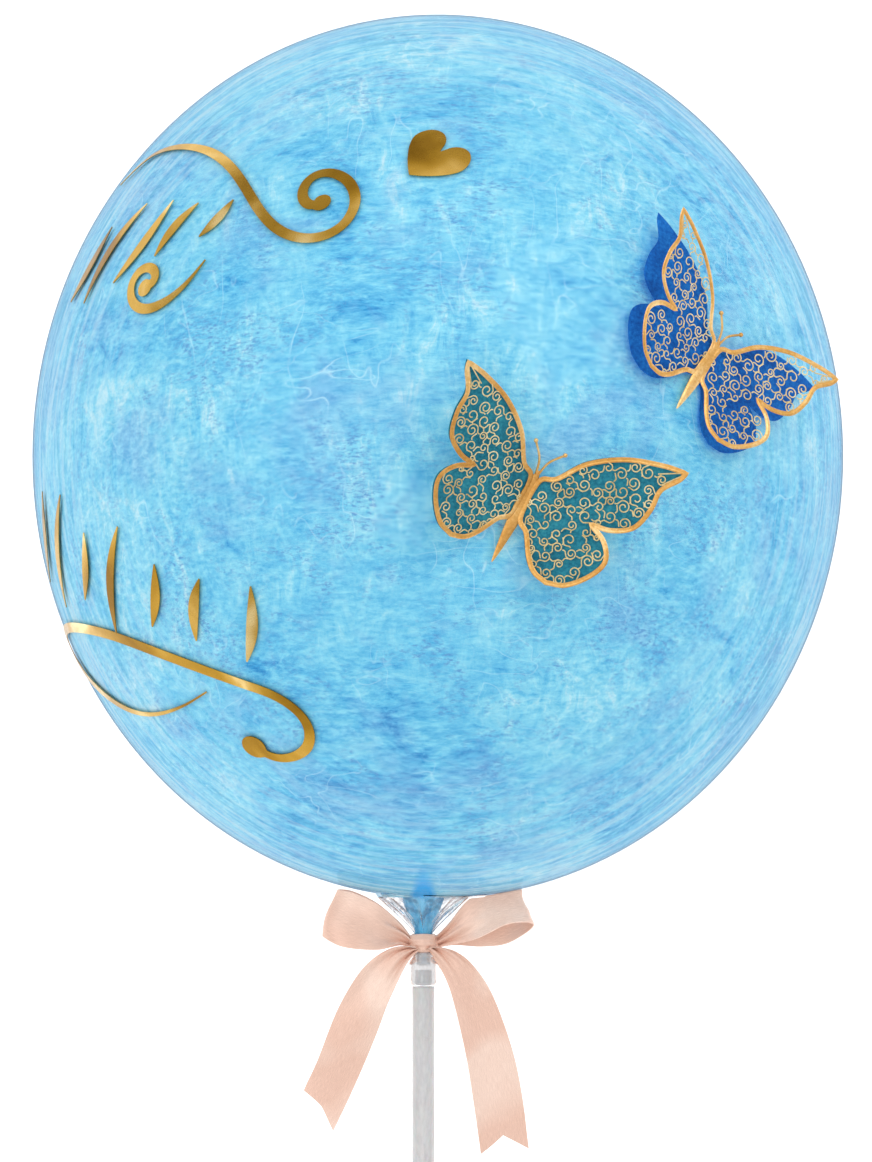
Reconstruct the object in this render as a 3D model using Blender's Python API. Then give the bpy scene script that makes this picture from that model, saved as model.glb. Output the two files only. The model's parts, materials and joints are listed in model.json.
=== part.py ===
"""A clear bubble balloon on a stick, lying on its side.

Metres, +Z up. Each piece is modelled in the balloon's own frame: X to the right, Y along the stick
towards the bubble, Z to the front, with the bubble's centre at the origin. All pieces hang on one
empty, which lays the balloon on its back: it rests on a small flat spot of the bubble, whose centre
is the world origin, and on the free end of the stick.
"""

import math

import bmesh
import bpy
from mathutils import Matrix, Vector

# Bubble
BUBBLE_RADIUS = 0.200
BUBBLE_HALF_HEIGHT = 0.218
FLAT_DEPTH = 0.002
BUBBLE_SIDES = 48
BUBBLE_ROWS = 20

# Neck, from the bubble's lower end to the knot
NECK_MOUTH_RADIUS = 0.024
NECK_LENGTH = 0.0175
NECK_RADIUS = 0.0045
NECK_FLARE = 1.5
NECK_ROWS = 5
PLEATS = 8
PLEAT_DEPTH = 0.0016

# Cup and stick, whose axis lies a little to the side of the bubble's
STICK_OFFSET = -0.0071
STICK_RADIUS = 0.0055
STICK_LENGTH = 0.400
STICK_GRIP = 0.008
STICK_SIDES = 16
CUP_TOP_RADIUS = 0.0058
CUP_SHOULDER_DROP = 0.004
CUP_RADIUS = 0.0082
CUP_HEIGHT = 0.0168
CUP_ROUNDING = 0.0022
CUP_SOCKET_DEPTH = 0.006
CUP_SIDES = 20

# Ribbon bow
RIBBON_WIDTH = 0.025
RIBBON_THICKNESS = 0.0012
KNOT_HEIGHT = 0.0088
KNOT_WALL = 0.0024
KNOT_SIDES = 20
LOOP_REACH = 0.051
TAIL_DROP = 0.105
NOTCH_DEPTH = 0.009
RIBBON_STEPS = 3
RIBBON_COLUMNS = 4

# Gold foil on the bubble
FOIL_THICKNESS = 0.0005
SCROLL_WIDTH = 0.0052
SCROLL_UPPER_SIZE = 0.100
SCROLL_CURL_SIZE = 0.100
SCROLL_LOWER_SIZE = 0.100
BALL_RADIUS = 0.0046
LOWER_BALL_RADIUS = 0.0068
STROKE_WIDTH = 0.0062
STROKE_BEND = 0.06
UPPER_STROKE_PITCH = 0.024
UPPER_STROKE_LENGTHS = (0.046, 0.062, 0.052, 0.034, 0.024)
LOWER_STROKE_PITCH = 0.0275
LOWER_STROKE_LENGTHS = (0.048, 0.060, 0.036, 0.058, 0.034, 0.034, 0.042)
HEART_WIDTH = 0.033
HEART_HEIGHT = 0.031
HEART_TILT = 45
TIP_WIDTH = 0.0008
STROKE_STEPS = 8
HEART_STEPS = 12
HEART_COLUMNS = 4

# Paper butterflies, whose wings are raised from the bubble by these angles
TEAL_HALF_SPAN = 0.0654
BLUE_HALF_SPAN = 0.0615
TEAL_LACE_LIFT = math.radians(20)
TEAL_BACKING_LIFT = math.radians(16.5)
BLUE_LACE_LIFT = math.radians(9)
BLUE_BACKING_LIFT = math.radians(0)
BLUE_BACKING_CLING = 0.5
PAPER_THICKNESS = 0.0005
BACKING_BODY_THICKNESS = 0.0009
LACE_BODY_THICKNESS = 0.0016
BODY_HALF_WIDTH = 0.0023
BODY_TAIL = -0.385
BODY_HEAD = 0.375
THORAX = 0.12
BODY_SIDES = 8
BODY_ROWS = 6
ANTENNA_RADIUS = 0.00045

# Room left between pieces that touch
CLEARANCE = 0.0003

# Heights along the balloon's axis
KNOT_TOP = -BUBBLE_HALF_HEIGHT - NECK_LENGTH
KNOT_CENTRE = KNOT_TOP - KNOT_HEIGHT / 2
CUP_TOP = KNOT_TOP - KNOT_HEIGHT - CLEARANCE
CUP_BOTTOM = CUP_TOP - CUP_HEIGHT
NECK_END = CUP_TOP - CUP_SOCKET_DEPTH + CLEARANCE
STICK_TOP = CUP_BOTTOM + STICK_GRIP
STICK_END = CUP_BOTTOM - STICK_LENGTH

# Places on the bubble, as longitude from the front and latitude, in degrees
HEART_PLACE = (-1.1, 41.3)
SCROLL_UPPER_PLACE = (-39.0, 39.2)
SCROLL_CURL_PLACE = (-51.5, 21.0)
SCROLL_LOWER_PLACE = (-37.3, -30.1)
UPPER_ROW_PLACE = (-50.2, 30.8)
LOWER_ROW_PLACE = (-48.1, -17.6)
TEAL_PLACE = (10.8, -7.8)
BLUE_PLACE = (39.5, 10.2)

# Way that each butterfly heads along the skin, clockwise from the bubble's top, in degrees
TEAL_HEADING = 26.5
BLUE_HEADING = 44.0

# Runs of the scrolls before their spirals, in shares of the scroll's size
SCROLL_UPPER_RUN = (
    (-1.106, -0.072), (-0.851, 0.087), (-0.510, 0.171), (-0.235, 0.119), (0.0, 0.0),
    (0.124, -0.137), (0.256, -0.262),
)
SCROLL_CURL_RUN = ((0.400, 0.220), (0.350, 0.080), (0.230, -0.070))
SCROLL_LOWER_RUN = (
    (-0.030, -0.065), (-0.297, -0.151), (-0.574, -0.208), (-0.862, -0.168), (-1.228, -0.066),
    (-1.500, 0.020), (-1.620, 0.130), (-1.560, 0.225), (-1.400, 0.265), (-1.143, 0.274),
    (-0.550, 0.181), (0.0, 0.005), (0.225, -0.070),
)

# Spirals of the scrolls: centre and first radius in shares of the scroll's size, then the first
# angle and the turn in degrees, and how much of the radius is gone at the end
SCROLL_UPPER_SPIRAL = ((0.560, -0.190), 0.190, -125, 395, 0.66)
SCROLL_CURL_SPIRAL = ((0.0, 0.0), 0.140, -50, -380, 0.60)
SCROLL_LOWER_SPIRAL = ((0.215, -0.265), 0.215, 50, -225, 0.45)

# Edges of one wing as (out, forward) shares of the half span, from the hind wing's foot to the tip
WING_INNER = (
    (0.430, -0.354), (0.310, -0.325), (0.215, -0.240), (0.110, -0.080), (0.018, 0.010),
    (0.018, 0.300), (0.130, 0.380), (0.285, 0.595), (0.530, 0.758), (0.815, 0.845), (1.000, 0.872),
)
WING_OUTER = (
    (0.430, -0.354), (0.580, -0.300), (0.715, -0.150), (0.769, 0.005), (0.690, 0.130), (0.540, 0.196),
)
WING_TRAILING = (
    (0.540, 0.196), (0.700, 0.225), (0.842, 0.322), (0.892, 0.500), (0.890, 0.668), (0.975, 0.800),
    (1.000, 0.872),
)
ANTENNA_PATH = ((0.008, 0.34), (0.040, 0.46), (0.125, 0.565))
WING_STEPS = 2
WING_COLUMNS = 3
WING_TIP_WIDTH = 0.012

# Ribbon stations: the middle, in shares of the loop's reach or of the tail's drop, then the vector
# across the ribbon, in shares of its width. A run of ribbon also has its ends in the knot's wall.
LEFT_LOOP = (
    ((-0.235, 0.09, 0.127), (0.01, -0.42, 0.04)),
    ((-0.45, 0.157, 0.167), (0.0, -0.90, 0.08)),
    ((-0.725, 0.225, 0.147), (-0.20, -1.06, 0.0)),
    ((-0.910, 0.294, 0.0), (-0.25, -0.92, 0.0)),
    ((-0.725, 0.245, -0.147), (-0.16, -1.04, 0.0)),
    ((-0.45, 0.176, -0.167), (0.0, -0.84, -0.08)),
    ((-0.235, 0.098, -0.127), (0.0, -0.40, 0.0)),
)
RIGHT_LOOP = (
    ((0.265, 0.102, 0.127), (0.01, -0.43, 0.04)),
    ((0.49, 0.243, 0.150), (0.08, -0.80, 0.16)),
    ((0.775, 0.345, 0.059), (0.14, -0.68, 0.60)),
    ((1.002, 0.345, -0.157), (0.18, -0.72, 0.40)),
    ((0.785, 0.247, -0.294), (0.16, -1.02, 0.16)),
    ((0.53, 0.176, -0.255), (0.12, -0.88, 0.0)),
    ((0.275, 0.067, -0.157), (0.08, -0.36, 0.0)),
)
LEFT_TAIL = (
    ((-0.123, -0.067, 0.070), (0.36, -0.28, 0.08)),
    ((-0.219, -0.187, 0.060), (0.56, -0.56, 0.08)),
    ((-0.305, -0.352, 0.0), (0.80, -0.40, 0.20)),
    ((-0.400, -0.590, -0.105), (0.80, -0.30, 0.20)),
    ((-0.490, -0.790, -0.210), (0.59, -0.79, 0.16)),
)
RIGHT_TAIL = (
    ((0.097, -0.050, 0.070), (0.44, 0.09, 0.0)),
    ((0.171, -0.137, 0.066), (0.56, 0.24, -0.08)),
    ((0.236, -0.271, 0.028), (0.76, 0.20, -0.12)),
    ((0.310, -0.524, -0.057), (0.88, 0.23, -0.16)),
    ((0.354, -0.760, -0.143), (0.94, 0.18, -0.16)),
    ((0.384, -0.986, -0.229), (0.96, 0.08, -0.16)),
)


def resting_tilt():
    """Angle between the stick's axis and the floor, with the bubble's flat and the stick's end both down."""
    below, above = 0.0, math.pi / 3
    for _ in range(60):
        tilt = (below + above) / 2
        bubble = bubble_reach(tilt) - FLAT_DEPTH
        stick = -STICK_END * math.sin(tilt) + STICK_RADIUS * math.cos(tilt)
        if stick < bubble:
            below = tilt
        else:
            above = tilt
    return (below + above) / 2


def bubble_reach(tilt):
    """How far the whole bubble reaches from its centre, straight down, when it is tilted."""
    return math.hypot(BUBBLE_HALF_HEIGHT * math.sin(tilt), BUBBLE_RADIUS * math.cos(tilt))


def down_of(tilt):
    """Straight down, in the balloon's own frame."""
    return Vector((0.0, -math.sin(tilt), -math.cos(tilt)))


def flat_centre(tilt):
    """Centre of the flat spot, in the balloon's own frame."""
    down = down_of(tilt)
    reach = bubble_reach(tilt)
    touch = Vector((0.0, down.y * BUBBLE_HALF_HEIGHT**2, down.z * BUBBLE_RADIUS**2)) / reach
    return touch * (reach - FLAT_DEPTH) / reach


def outward(point):
    """Unit vector that leaves the bubble squarely at a point of its skin."""
    return Vector(
        (point.x / BUBBLE_RADIUS**2, point.y / BUBBLE_HALF_HEIGHT**2, point.z / BUBBLE_RADIUS**2)
    ).normalized()


def on_bubble(longitude, latitude, height=0.0):
    around = BUBBLE_RADIUS * math.cos(latitude)
    point = Vector(
        (around * math.sin(longitude), BUBBLE_HALF_HEIGHT * math.sin(latitude), around * math.cos(longitude))
    )
    return point + outward(point) * height


def on_foil(place, east, north, height):
    """A point of a foil sheet laid on the bubble: metres east and north of the sheet's place."""
    latitude = math.radians(place[1]) + north / BUBBLE_HALF_HEIGHT
    longitude = math.radians(place[0]) + east / (BUBBLE_RADIUS * math.cos(latitude))
    return on_bubble(longitude, latitude, height)


def clear_of_bubble(point, room):
    """The point, moved straight out from the bubble's centre where it would come too near the skin."""
    far = Vector((point.x / (BUBBLE_RADIUS + room), point.y / (BUBBLE_HALF_HEIGHT + room),
                  point.z / (BUBBLE_RADIUS + room))).length
    return point / far if far < 1.0 else point


def spline(points, steps):
    """A smooth curve through the points, with a number of steps between each two of them."""
    ends = [points[0] * 2 - points[1], *points, points[-1] * 2 - points[-2]]
    curve = []
    for a, b, c, d in zip(ends, ends[1:], ends[2:], ends[3:]):
        for step in range(steps):
            t = step / steps
            curve.append(
                (b * 2 + (c - a) * t + (a * 2 - b * 5 + c * 4 - d) * t**2 + (b * 3 - a - c * 3 + d) * t**3) / 2
            )
    return [*curve, points[-1]]


def material(name, colour, roughness, metallic=0.0, transmission=0.0, alpha=1.0):
    made = bpy.data.materials.new(name)
    made.use_nodes = True
    shader = made.node_tree.nodes["Principled BSDF"]
    shader.inputs["Base Color"].default_value = (*colour, 1.0)
    shader.inputs["Roughness"].default_value = roughness
    shader.inputs["Metallic"].default_value = metallic
    shader.inputs["Transmission Weight"].default_value = transmission
    shader.inputs["Alpha"].default_value = alpha
    return made


def piece(name, bm, finish, balloon, smooth=True):
    """An object of the balloon, from a finished bmesh."""
    mesh = bpy.data.meshes.new(name)
    bm.to_mesh(mesh)
    bm.free()
    made = bpy.data.objects.new(name, mesh)
    bpy.context.scene.collection.objects.link(made)
    mesh.materials.append(finish)
    if smooth:
        mesh.shade_smooth()
        mesh.set_sharp_from_angle(angle=math.radians(35))
    made.parent = balloon
    return made


def spun(profile, sides, closed=False):
    """A bmesh turned about the Y axis from (radius, y) points, closed where the profile ends on the axis."""
    bm = bmesh.new()
    points = [bm.verts.new((radius, y, 0.0)) for radius, y in profile]
    pairs = list(zip(points, points[1:]))
    if closed:
        pairs.append((points[-1], points[0]))
    edges = [bm.edges.new(pair) for pair in pairs]
    bmesh.ops.spin(
        bm, geom=points + edges, axis=(0, 1, 0), cent=(0, 0, 0), angle=math.tau, steps=sides, use_merge=True
    )
    bmesh.ops.remove_doubles(bm, verts=bm.verts, dist=1e-7)
    bmesh.ops.recalc_face_normals(bm, faces=bm.faces)
    return bm


def sheet(grid):
    """A bmesh of one sheet, from rows of points."""
    bm = bmesh.new()
    rows = [[bm.verts.new(point) for point in row] for row in grid]
    for row, following in zip(rows, rows[1:]):
        for a, b, c, d in zip(row, row[1:], following[1:], following):
            bm.faces.new((a, b, c, d))
    return bm


def thicken(made, thickness):
    solid = made.modifiers.new("Thickness", "SOLIDIFY")
    solid.thickness = thickness
    solid.offset = 0.0
    solid.use_even_offset = True


def unite(base, parts):
    """Joins helper objects to a piece, which stays one solid."""
    for part in parts:
        part.hide_render = True
        part.display_type = "WIRE"
        joint = base.modifiers.new("Join " + part.name, "BOOLEAN")
        joint.operation = "UNION"
        joint.object = part


def build_bubble(finish, balloon, tilt):
    mouth = math.pi - math.asin(NECK_MOUTH_RADIUS / BUBBLE_RADIUS)
    profile = []
    for row in range(BUBBLE_ROWS + 1):
        angle = mouth * row / BUBBLE_ROWS
        profile.append((BUBBLE_RADIUS * math.sin(angle), BUBBLE_HALF_HEIGHT * math.cos(angle)))
    mouth_y = profile[-1][1]
    pinch = KNOT_TOP + CLEARANCE
    for row in range(1, NECK_ROWS + 1):
        share = row / NECK_ROWS
        radius = NECK_RADIUS + (NECK_MOUTH_RADIUS - NECK_RADIUS) * (1 - share) ** NECK_FLARE
        profile.append((radius, mouth_y + (pinch - mouth_y) * share))
    profile += [(NECK_RADIUS, NECK_END), (0.0, NECK_END)]
    bm = spun(profile, BUBBLE_SIDES)
    for vertex in bm.verts:
        share = min(1.0, (mouth_y - vertex.co.y) / (mouth_y - pinch))
        radius = math.hypot(vertex.co.x, vertex.co.z)
        if share <= 1e-6:
            if vertex.co.y < 0.0:
                near = max(0.0, 1 - (radius - NECK_MOUTH_RADIUS) / (BUBBLE_RADIUS - NECK_MOUTH_RADIUS))
                vertex.co.x += STICK_OFFSET * (3 - 2 * near) * near**2
                out = math.hypot(vertex.co.x, vertex.co.z) / BUBBLE_RADIUS
                vertex.co.y = -BUBBLE_HALF_HEIGHT * math.sqrt(max(0.0, 1 - out**2))
            continue
        if share < 1.0:
            around = math.atan2(vertex.co.x, vertex.co.z)
            folded = radius + PLEAT_DEPTH * math.sin(math.pi * share) * math.cos(PLEATS * around)
            vertex.co.x *= folded / radius
            vertex.co.z *= folded / radius
        vertex.co.x += STICK_OFFSET
    bmesh.ops.bisect_plane(
        bm, geom=[*bm.verts, *bm.edges, *bm.faces], plane_co=flat_centre(tilt), plane_no=down_of(tilt),
        clear_outer=True,
    )
    rim = [edge for edge in bm.edges if edge.is_boundary]
    bmesh.ops.contextual_create(bm, geom=rim)
    bmesh.ops.recalc_face_normals(bm, faces=bm.faces)
    piece("bubble", bm, finish, balloon)


def build_cup(finish, balloon):
    socket = NECK_RADIUS + CLEARANCE
    grip = STICK_RADIUS + CLEARANCE
    socket_end = CUP_TOP - CUP_SOCKET_DEPTH
    shoulder = CUP_TOP - CUP_SHOULDER_DROP
    profile = [
        (0.0, socket_end),
        (socket, socket_end),
        (socket, CUP_TOP),
        (CUP_TOP_RADIUS, CUP_TOP),
        (CUP_TOP_RADIUS, shoulder + CUP_ROUNDING),
        (CUP_RADIUS - CUP_ROUNDING / 4, shoulder),
        (CUP_RADIUS, shoulder - CUP_ROUNDING),
        (CUP_RADIUS, CUP_BOTTOM + CUP_ROUNDING),
        (CUP_RADIUS - CUP_ROUNDING * 0.3, CUP_BOTTOM + CUP_ROUNDING * 0.3),
        (CUP_RADIUS - CUP_ROUNDING, CUP_BOTTOM),
        (grip, CUP_BOTTOM),
        (grip, STICK_TOP + CLEARANCE),
        (0.0, STICK_TOP + CLEARANCE),
    ]
    cup = piece("cup", spun(profile, CUP_SIDES), finish, balloon)
    cup.location.x = STICK_OFFSET


def build_stick(finish, balloon):
    """One corner of the stick's section points straight back, so the stick rests on its full radius."""
    profile = [(0.0, STICK_TOP), (STICK_RADIUS, STICK_TOP), (STICK_RADIUS, STICK_END), (0.0, STICK_END)]
    stick = piece("stick", spun(profile, STICK_SIDES), finish, balloon)
    stick.location.x = STICK_OFFSET


def ribbon(name, stations, scale, inside, finish, balloon, notch=0.0):
    """One run of ribbon, which starts, and for a loop also ends, in the knot's wall at the places in inside."""
    first, *last = inside
    middles = [first[0], *[Vector(middle) * scale for middle, _ in stations], *[place for place, _ in last]]
    acrosses = [first[1], *[Vector(across) * RIBBON_WIDTH for _, across in stations], *[wide for _, wide in last]]
    grid = []
    for middle, across in zip(spline(middles, RIBBON_STEPS), spline(acrosses, RIBBON_STEPS)):
        row = []
        for column in range(RIBBON_COLUMNS + 1):
            share = column / RIBBON_COLUMNS - 0.5
            point = Vector((STICK_OFFSET, KNOT_CENTRE, 0.0)) + middle + across * share
            row.append(clear_of_bubble(point, CLEARANCE + RIBBON_THICKNESS))
        grid.append(row)
    if notch:
        middle = RIBBON_COLUMNS // 2
        along = (grid[-1][middle] - grid[-2][middle]).normalized()
        grid[-1][middle] -= along * notch
    strip = piece(name, sheet(grid), finish, balloon)
    thicken(strip, RIBBON_THICKNESS)
    return strip


def build_bow(finish, balloon):
    bore = NECK_RADIUS + CLEARANCE
    outer = bore + KNOT_WALL
    half = KNOT_HEIGHT / 2
    profile = [
        (bore, KNOT_CENTRE + half),
        (bore, KNOT_CENTRE - half),
        (outer - KNOT_WALL * 0.3, KNOT_CENTRE - half),
        (outer, KNOT_CENTRE - half * 0.5),
        (outer, KNOT_CENTRE + half * 0.5),
        (outer - KNOT_WALL * 0.3, KNOT_CENTRE + half),
    ]
    knot = piece("bow", spun(profile, KNOT_SIDES, closed=True), finish, balloon)
    knot.location.x = STICK_OFFSET
    wall = bore + KNOT_WALL / 2
    side, front = wall * math.cos(math.radians(30)), wall * math.sin(math.radians(30))
    pinched = Vector((0.0, -KNOT_HEIGHT * 0.55, 0.0))
    loops = []
    for name, hand, stations in (("left loop", -1, LEFT_LOOP), ("right loop", 1, RIGHT_LOOP)):
        inside = [(Vector((hand * side, 0.0, front)), pinched), (Vector((hand * side, 0.0, -front)), pinched)]
        loops.append(ribbon(name, stations, LOOP_REACH, inside, finish, balloon))
    tails = []
    for name, hand, stations in (("left tail", -1, LEFT_TAIL), ("right tail", 1, RIGHT_TAIL)):
        start = Vector((hand * wall * 0.5, -KNOT_HEIGHT * 0.2, wall * 0.92))
        inside = [(start, Vector((0.0030, hand * 0.0012, hand * 0.0018)))]
        tails.append(ribbon(name, stations, TAIL_DROP, inside, finish, balloon, notch=NOTCH_DEPTH))
    unite(knot, loops + tails)


def foil(name, place, rows, finish, balloon):
    """Foil laid on the bubble, from rows of (east, north) points of its flat sheet."""
    height = CLEARANCE + FOIL_THICKNESS / 2
    grid = [[on_foil(place, east, north, height) for east, north in row] for row in rows]
    thicken(piece(name, sheet(grid), finish, balloon), FOIL_THICKNESS)


def brush(path, widths):
    """Rows of two points, square to a path, as a pen of changing width would draw it."""
    rows = []
    for number, (point, width) in enumerate(zip(path, widths)):
        before, after = path[max(number - 1, 0)], path[min(number + 1, len(path) - 1)]
        along = (after - before).normalized()
        across = Vector((along.y, -along.x)) * width / 2
        rows.append((point - across, point + across))
    return rows


def scroll(name, place, size, run, spiral, ball, finish, balloon):
    """A pen line that ends in a spiral with a round ball."""
    centre, radius, first, turn, gone = spiral
    path = spline([Vector(point) * size for point in run], 3)
    steps = max(8, round(abs(turn) / 24))
    for step in range(1, steps + 1):
        share = step / steps
        angle = math.radians(first + turn * share)
        reach = radius * (1 - gone * share**1.5)
        path.append(Vector((centre[0] + reach * math.cos(angle), centre[1] + reach * math.sin(angle))) * size)
    lengths = [0.0]
    for a, b in zip(path, path[1:]):
        lengths.append(lengths[-1] + (b - a).length)
    line = [
        TIP_WIDTH + (SCROLL_WIDTH - TIP_WIDTH) * min(1.0, 3 * length / lengths[-1]) for length in lengths
    ]
    end = path[-1] - path[-2]
    end.normalize()
    centre_of_ball = path[-1] + end * ball
    for step in range(1, 8):
        angle = math.pi * (0.12 + 0.80 * step / 7)
        path.append(centre_of_ball - end * ball * math.cos(angle))
        line.append(max(TIP_WIDTH, 2 * ball * math.sin(angle)))
    foil(name, place, brush(path, line), finish, balloon)


def stroke_rows(finish, balloon):
    """Two rows of slanting strokes, swelled in the middle, each bent the other way from the one before."""
    rows = (
        ("upper", UPPER_ROW_PLACE, UPPER_STROKE_LENGTHS, UPPER_STROKE_PITCH, (-0.064, -0.020), 0.25, 28),
        ("lower", LOWER_ROW_PLACE, LOWER_STROKE_LENGTHS, LOWER_STROKE_PITCH, (-0.106, 0.027), -0.27, 20),
    )
    for row, place, lengths, pitch, start, slope, slant in rows:
        lean = Vector((math.sin(math.radians(slant)), math.cos(math.radians(slant))))
        side = Vector((lean.y, -lean.x))
        for number, length in enumerate(lengths):
            middle = Vector(start) + Vector((pitch, pitch * slope)) * number
            bend = STROKE_BEND * length * (-1) ** number
            path, widths = [], []
            for step in range(STROKE_STEPS + 1):
                share = step / STROKE_STEPS
                swell = math.sin(math.pi * share)
                path.append(middle + lean * length * (share - 0.5) + side * bend * swell)
                widths.append(TIP_WIDTH + (STROKE_WIDTH - TIP_WIDTH) * swell)
            foil(f"{row}_stroke_{number + 1}", place, brush(path, widths), finish, balloon)


def build_heart(finish, balloon):
    turn = math.radians(-HEART_TILT)
    rows = []
    for step in range(HEART_STEPS + 1):
        across = 0.98 * math.cos(math.pi * (1 - step / HEART_STEPS))
        far = abs(across)
        lobe = math.sqrt(max(0.0, 1 - ((far - 0.52) / 0.48) ** 2))
        top = 0.18 + 0.32 * lobe
        bottom = -0.5 + 0.68 * (0.55 * far + 0.45 * (1 - math.sqrt(1 - far**2)))
        row = []
        for column in range(HEART_COLUMNS + 1):
            x = across * HEART_WIDTH / 2
            y = (bottom + (top - bottom) * column / HEART_COLUMNS) * HEART_HEIGHT
            row.append((x * math.cos(turn) - y * math.sin(turn), x * math.sin(turn) + y * math.cos(turn)))
        rows.append(row)
    foil("heart", HEART_PLACE, rows, finish, balloon)


def wing_rows():
    """Rows of (out, forward) shares across one wing, from the hind wing's foot to the tip."""
    outer = spline([Vector(point) for point in WING_OUTER], WING_STEPS)[:-1]
    outer += spline([Vector(point) for point in WING_TRAILING], WING_STEPS)
    inner = spline([Vector(point) for point in WING_INNER], 8)
    rows = []
    for number, edge in enumerate(outer):
        forward = edge.y
        for a, b in zip(inner, inner[1:]):
            if a.y <= forward <= b.y:
                share = (forward - a.y) / max(b.y - a.y, 1e-9)
                near = a.x + (b.x - a.x) * share
                break
        else:
            near = edge.x
        near = min(near, edge.x - WING_TIP_WIDTH)
        rows.append([(near + (edge.x - near) * c / WING_COLUMNS, forward) for c in range(WING_COLUMNS + 1)])
    return rows


def skin_frame(place, heading):
    """Matrix that puts right, forward and outward of a thing on the bubble along its X, Y and Z."""
    longitude, latitude = math.radians(place[0]), math.radians(place[1])
    point = on_bubble(longitude, latitude)
    out = outward(point)
    north = (on_bubble(longitude, latitude + 1e-4) - point).normalized()
    east = north.cross(out)
    turn = math.radians(heading)
    forward = north * math.cos(turn) + east * math.sin(turn)
    right = forward.cross(out)
    return Matrix.Translation(point) @ Matrix((right, forward, out)).transposed().to_4x4()


def rod(name, path, radius, finish, balloon):
    """A thin wire along a path, as a curve with a bevel turned into a mesh."""
    curve = bpy.data.curves.new(name, "CURVE")
    curve.dimensions = "3D"
    curve.bevel_depth = radius
    curve.bevel_resolution = 1
    curve.use_fill_caps = True
    line = curve.splines.new("POLY")
    line.points.add(len(path) - 1)
    for point, place in zip(line.points, path):
        point.co = (*place, 1.0)
    guide = bpy.data.objects.new(name + " guide", curve)
    bm = bmesh.new()
    bm.from_mesh(guide.to_mesh())
    bpy.data.objects.remove(guide)
    bmesh.ops.remove_doubles(bm, verts=bm.verts, dist=1e-6)
    return piece(name, bm, finish, balloon)


def skin_drop(frame, right, forward):
    """How far the skin has fallen away under a point of the plane that touches it at the butterfly's body."""
    start = frame @ Vector((right, forward, 0.0))
    down = frame.to_3x3() @ Vector((0.0, 0.0, -1.0))
    squash = Matrix.Diagonal((1 / BUBBLE_RADIUS, 1 / BUBBLE_HALF_HEIGHT, 1 / BUBBLE_RADIUS))
    p, d = squash @ start, squash @ down
    half = p.dot(d)
    room = half**2 - d.dot(d) * (p.dot(p) - 1.0)
    return (-half - math.sqrt(max(0.0, room))) / d.dot(d)


def butterfly(name, frame, half_span, lift, cling, base, body_thickness, antennae, finish, balloon):
    """One layer of a butterfly. Its body lies at the height base above the skin. Its wings rise by lift,
    less the share cling of the skin's own fall."""
    middle = base + body_thickness / 2
    body_bm = bmesh.new()
    bmesh.ops.create_uvsphere(body_bm, u_segments=BODY_SIDES, v_segments=BODY_ROWS, radius=1.0)
    length = (BODY_HEAD - BODY_TAIL) * half_span / 2
    for vertex in body_bm.verts:
        along = vertex.co.z
        slim = 1.0 - 0.45 * max(0.0, THORAX - along)
        across = vertex.co.x * BODY_HALF_WIDTH * slim
        thick = vertex.co.y * body_thickness / 2
        vertex.co = (across, (BODY_HEAD + BODY_TAIL) / 2 * half_span + along * length, middle + thick)
    bmesh.ops.recalc_face_normals(body_bm, faces=body_bm.faces)
    body = piece(name, body_bm, finish, balloon)
    body.matrix_local = frame
    parts = []
    for hand in (-1, 1):
        grid = []
        for row in wing_rows():
            points = []
            for out, forward in row:
                right = hand * out * half_span * math.cos(lift)
                rise = out * half_span * math.sin(lift) - cling * skin_drop(frame, right, forward * half_span)
                points.append((right, forward * half_span, middle + rise))
            grid.append(points)
        wing = piece(f"{name} wing {hand}", sheet(grid), finish, balloon)
        wing.matrix_local = frame
        thicken(wing, PAPER_THICKNESS)
        parts.append(wing)
        if antennae:
            points = [Vector((hand * out * half_span, forward * half_span, middle)) for out, forward in ANTENNA_PATH]
            antenna = rod(f"{name} antenna {hand}", spline(points, 3), ANTENNA_RADIUS, finish, balloon)
            antenna.matrix_local = frame
            parts.append(antenna)
    unite(body, parts)


def build_butterflies(gold, balloon):
    teal = material("teal_paper", (0.016, 0.205, 0.270), 0.8)
    blue = material("blue_paper", (0.003, 0.100, 0.480), 0.8)
    lace_base = CLEARANCE * 2 + BACKING_BODY_THICKNESS
    layers = (
        ("butterfly_teal", TEAL_PLACE, TEAL_HEADING, TEAL_HALF_SPAN, TEAL_BACKING_LIFT, 0.0, TEAL_LACE_LIFT, teal),
        ("butterfly_blue", BLUE_PLACE, BLUE_HEADING, BLUE_HALF_SPAN, BLUE_BACKING_LIFT, BLUE_BACKING_CLING,
         BLUE_LACE_LIFT, blue),
    )
    for name, place, heading, half_span, backing_lift, cling, lace_lift, paper in layers:
        frame = skin_frame(place, heading)
        butterfly(name + "_backing", frame, half_span, backing_lift, cling, CLEARANCE, BACKING_BODY_THICKNESS,
                  False, paper, balloon)
        butterfly(name + "_lace", frame, half_span, lace_lift, 0.0, lace_base, LACE_BODY_THICKNESS,
                  True, gold, balloon)


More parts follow.
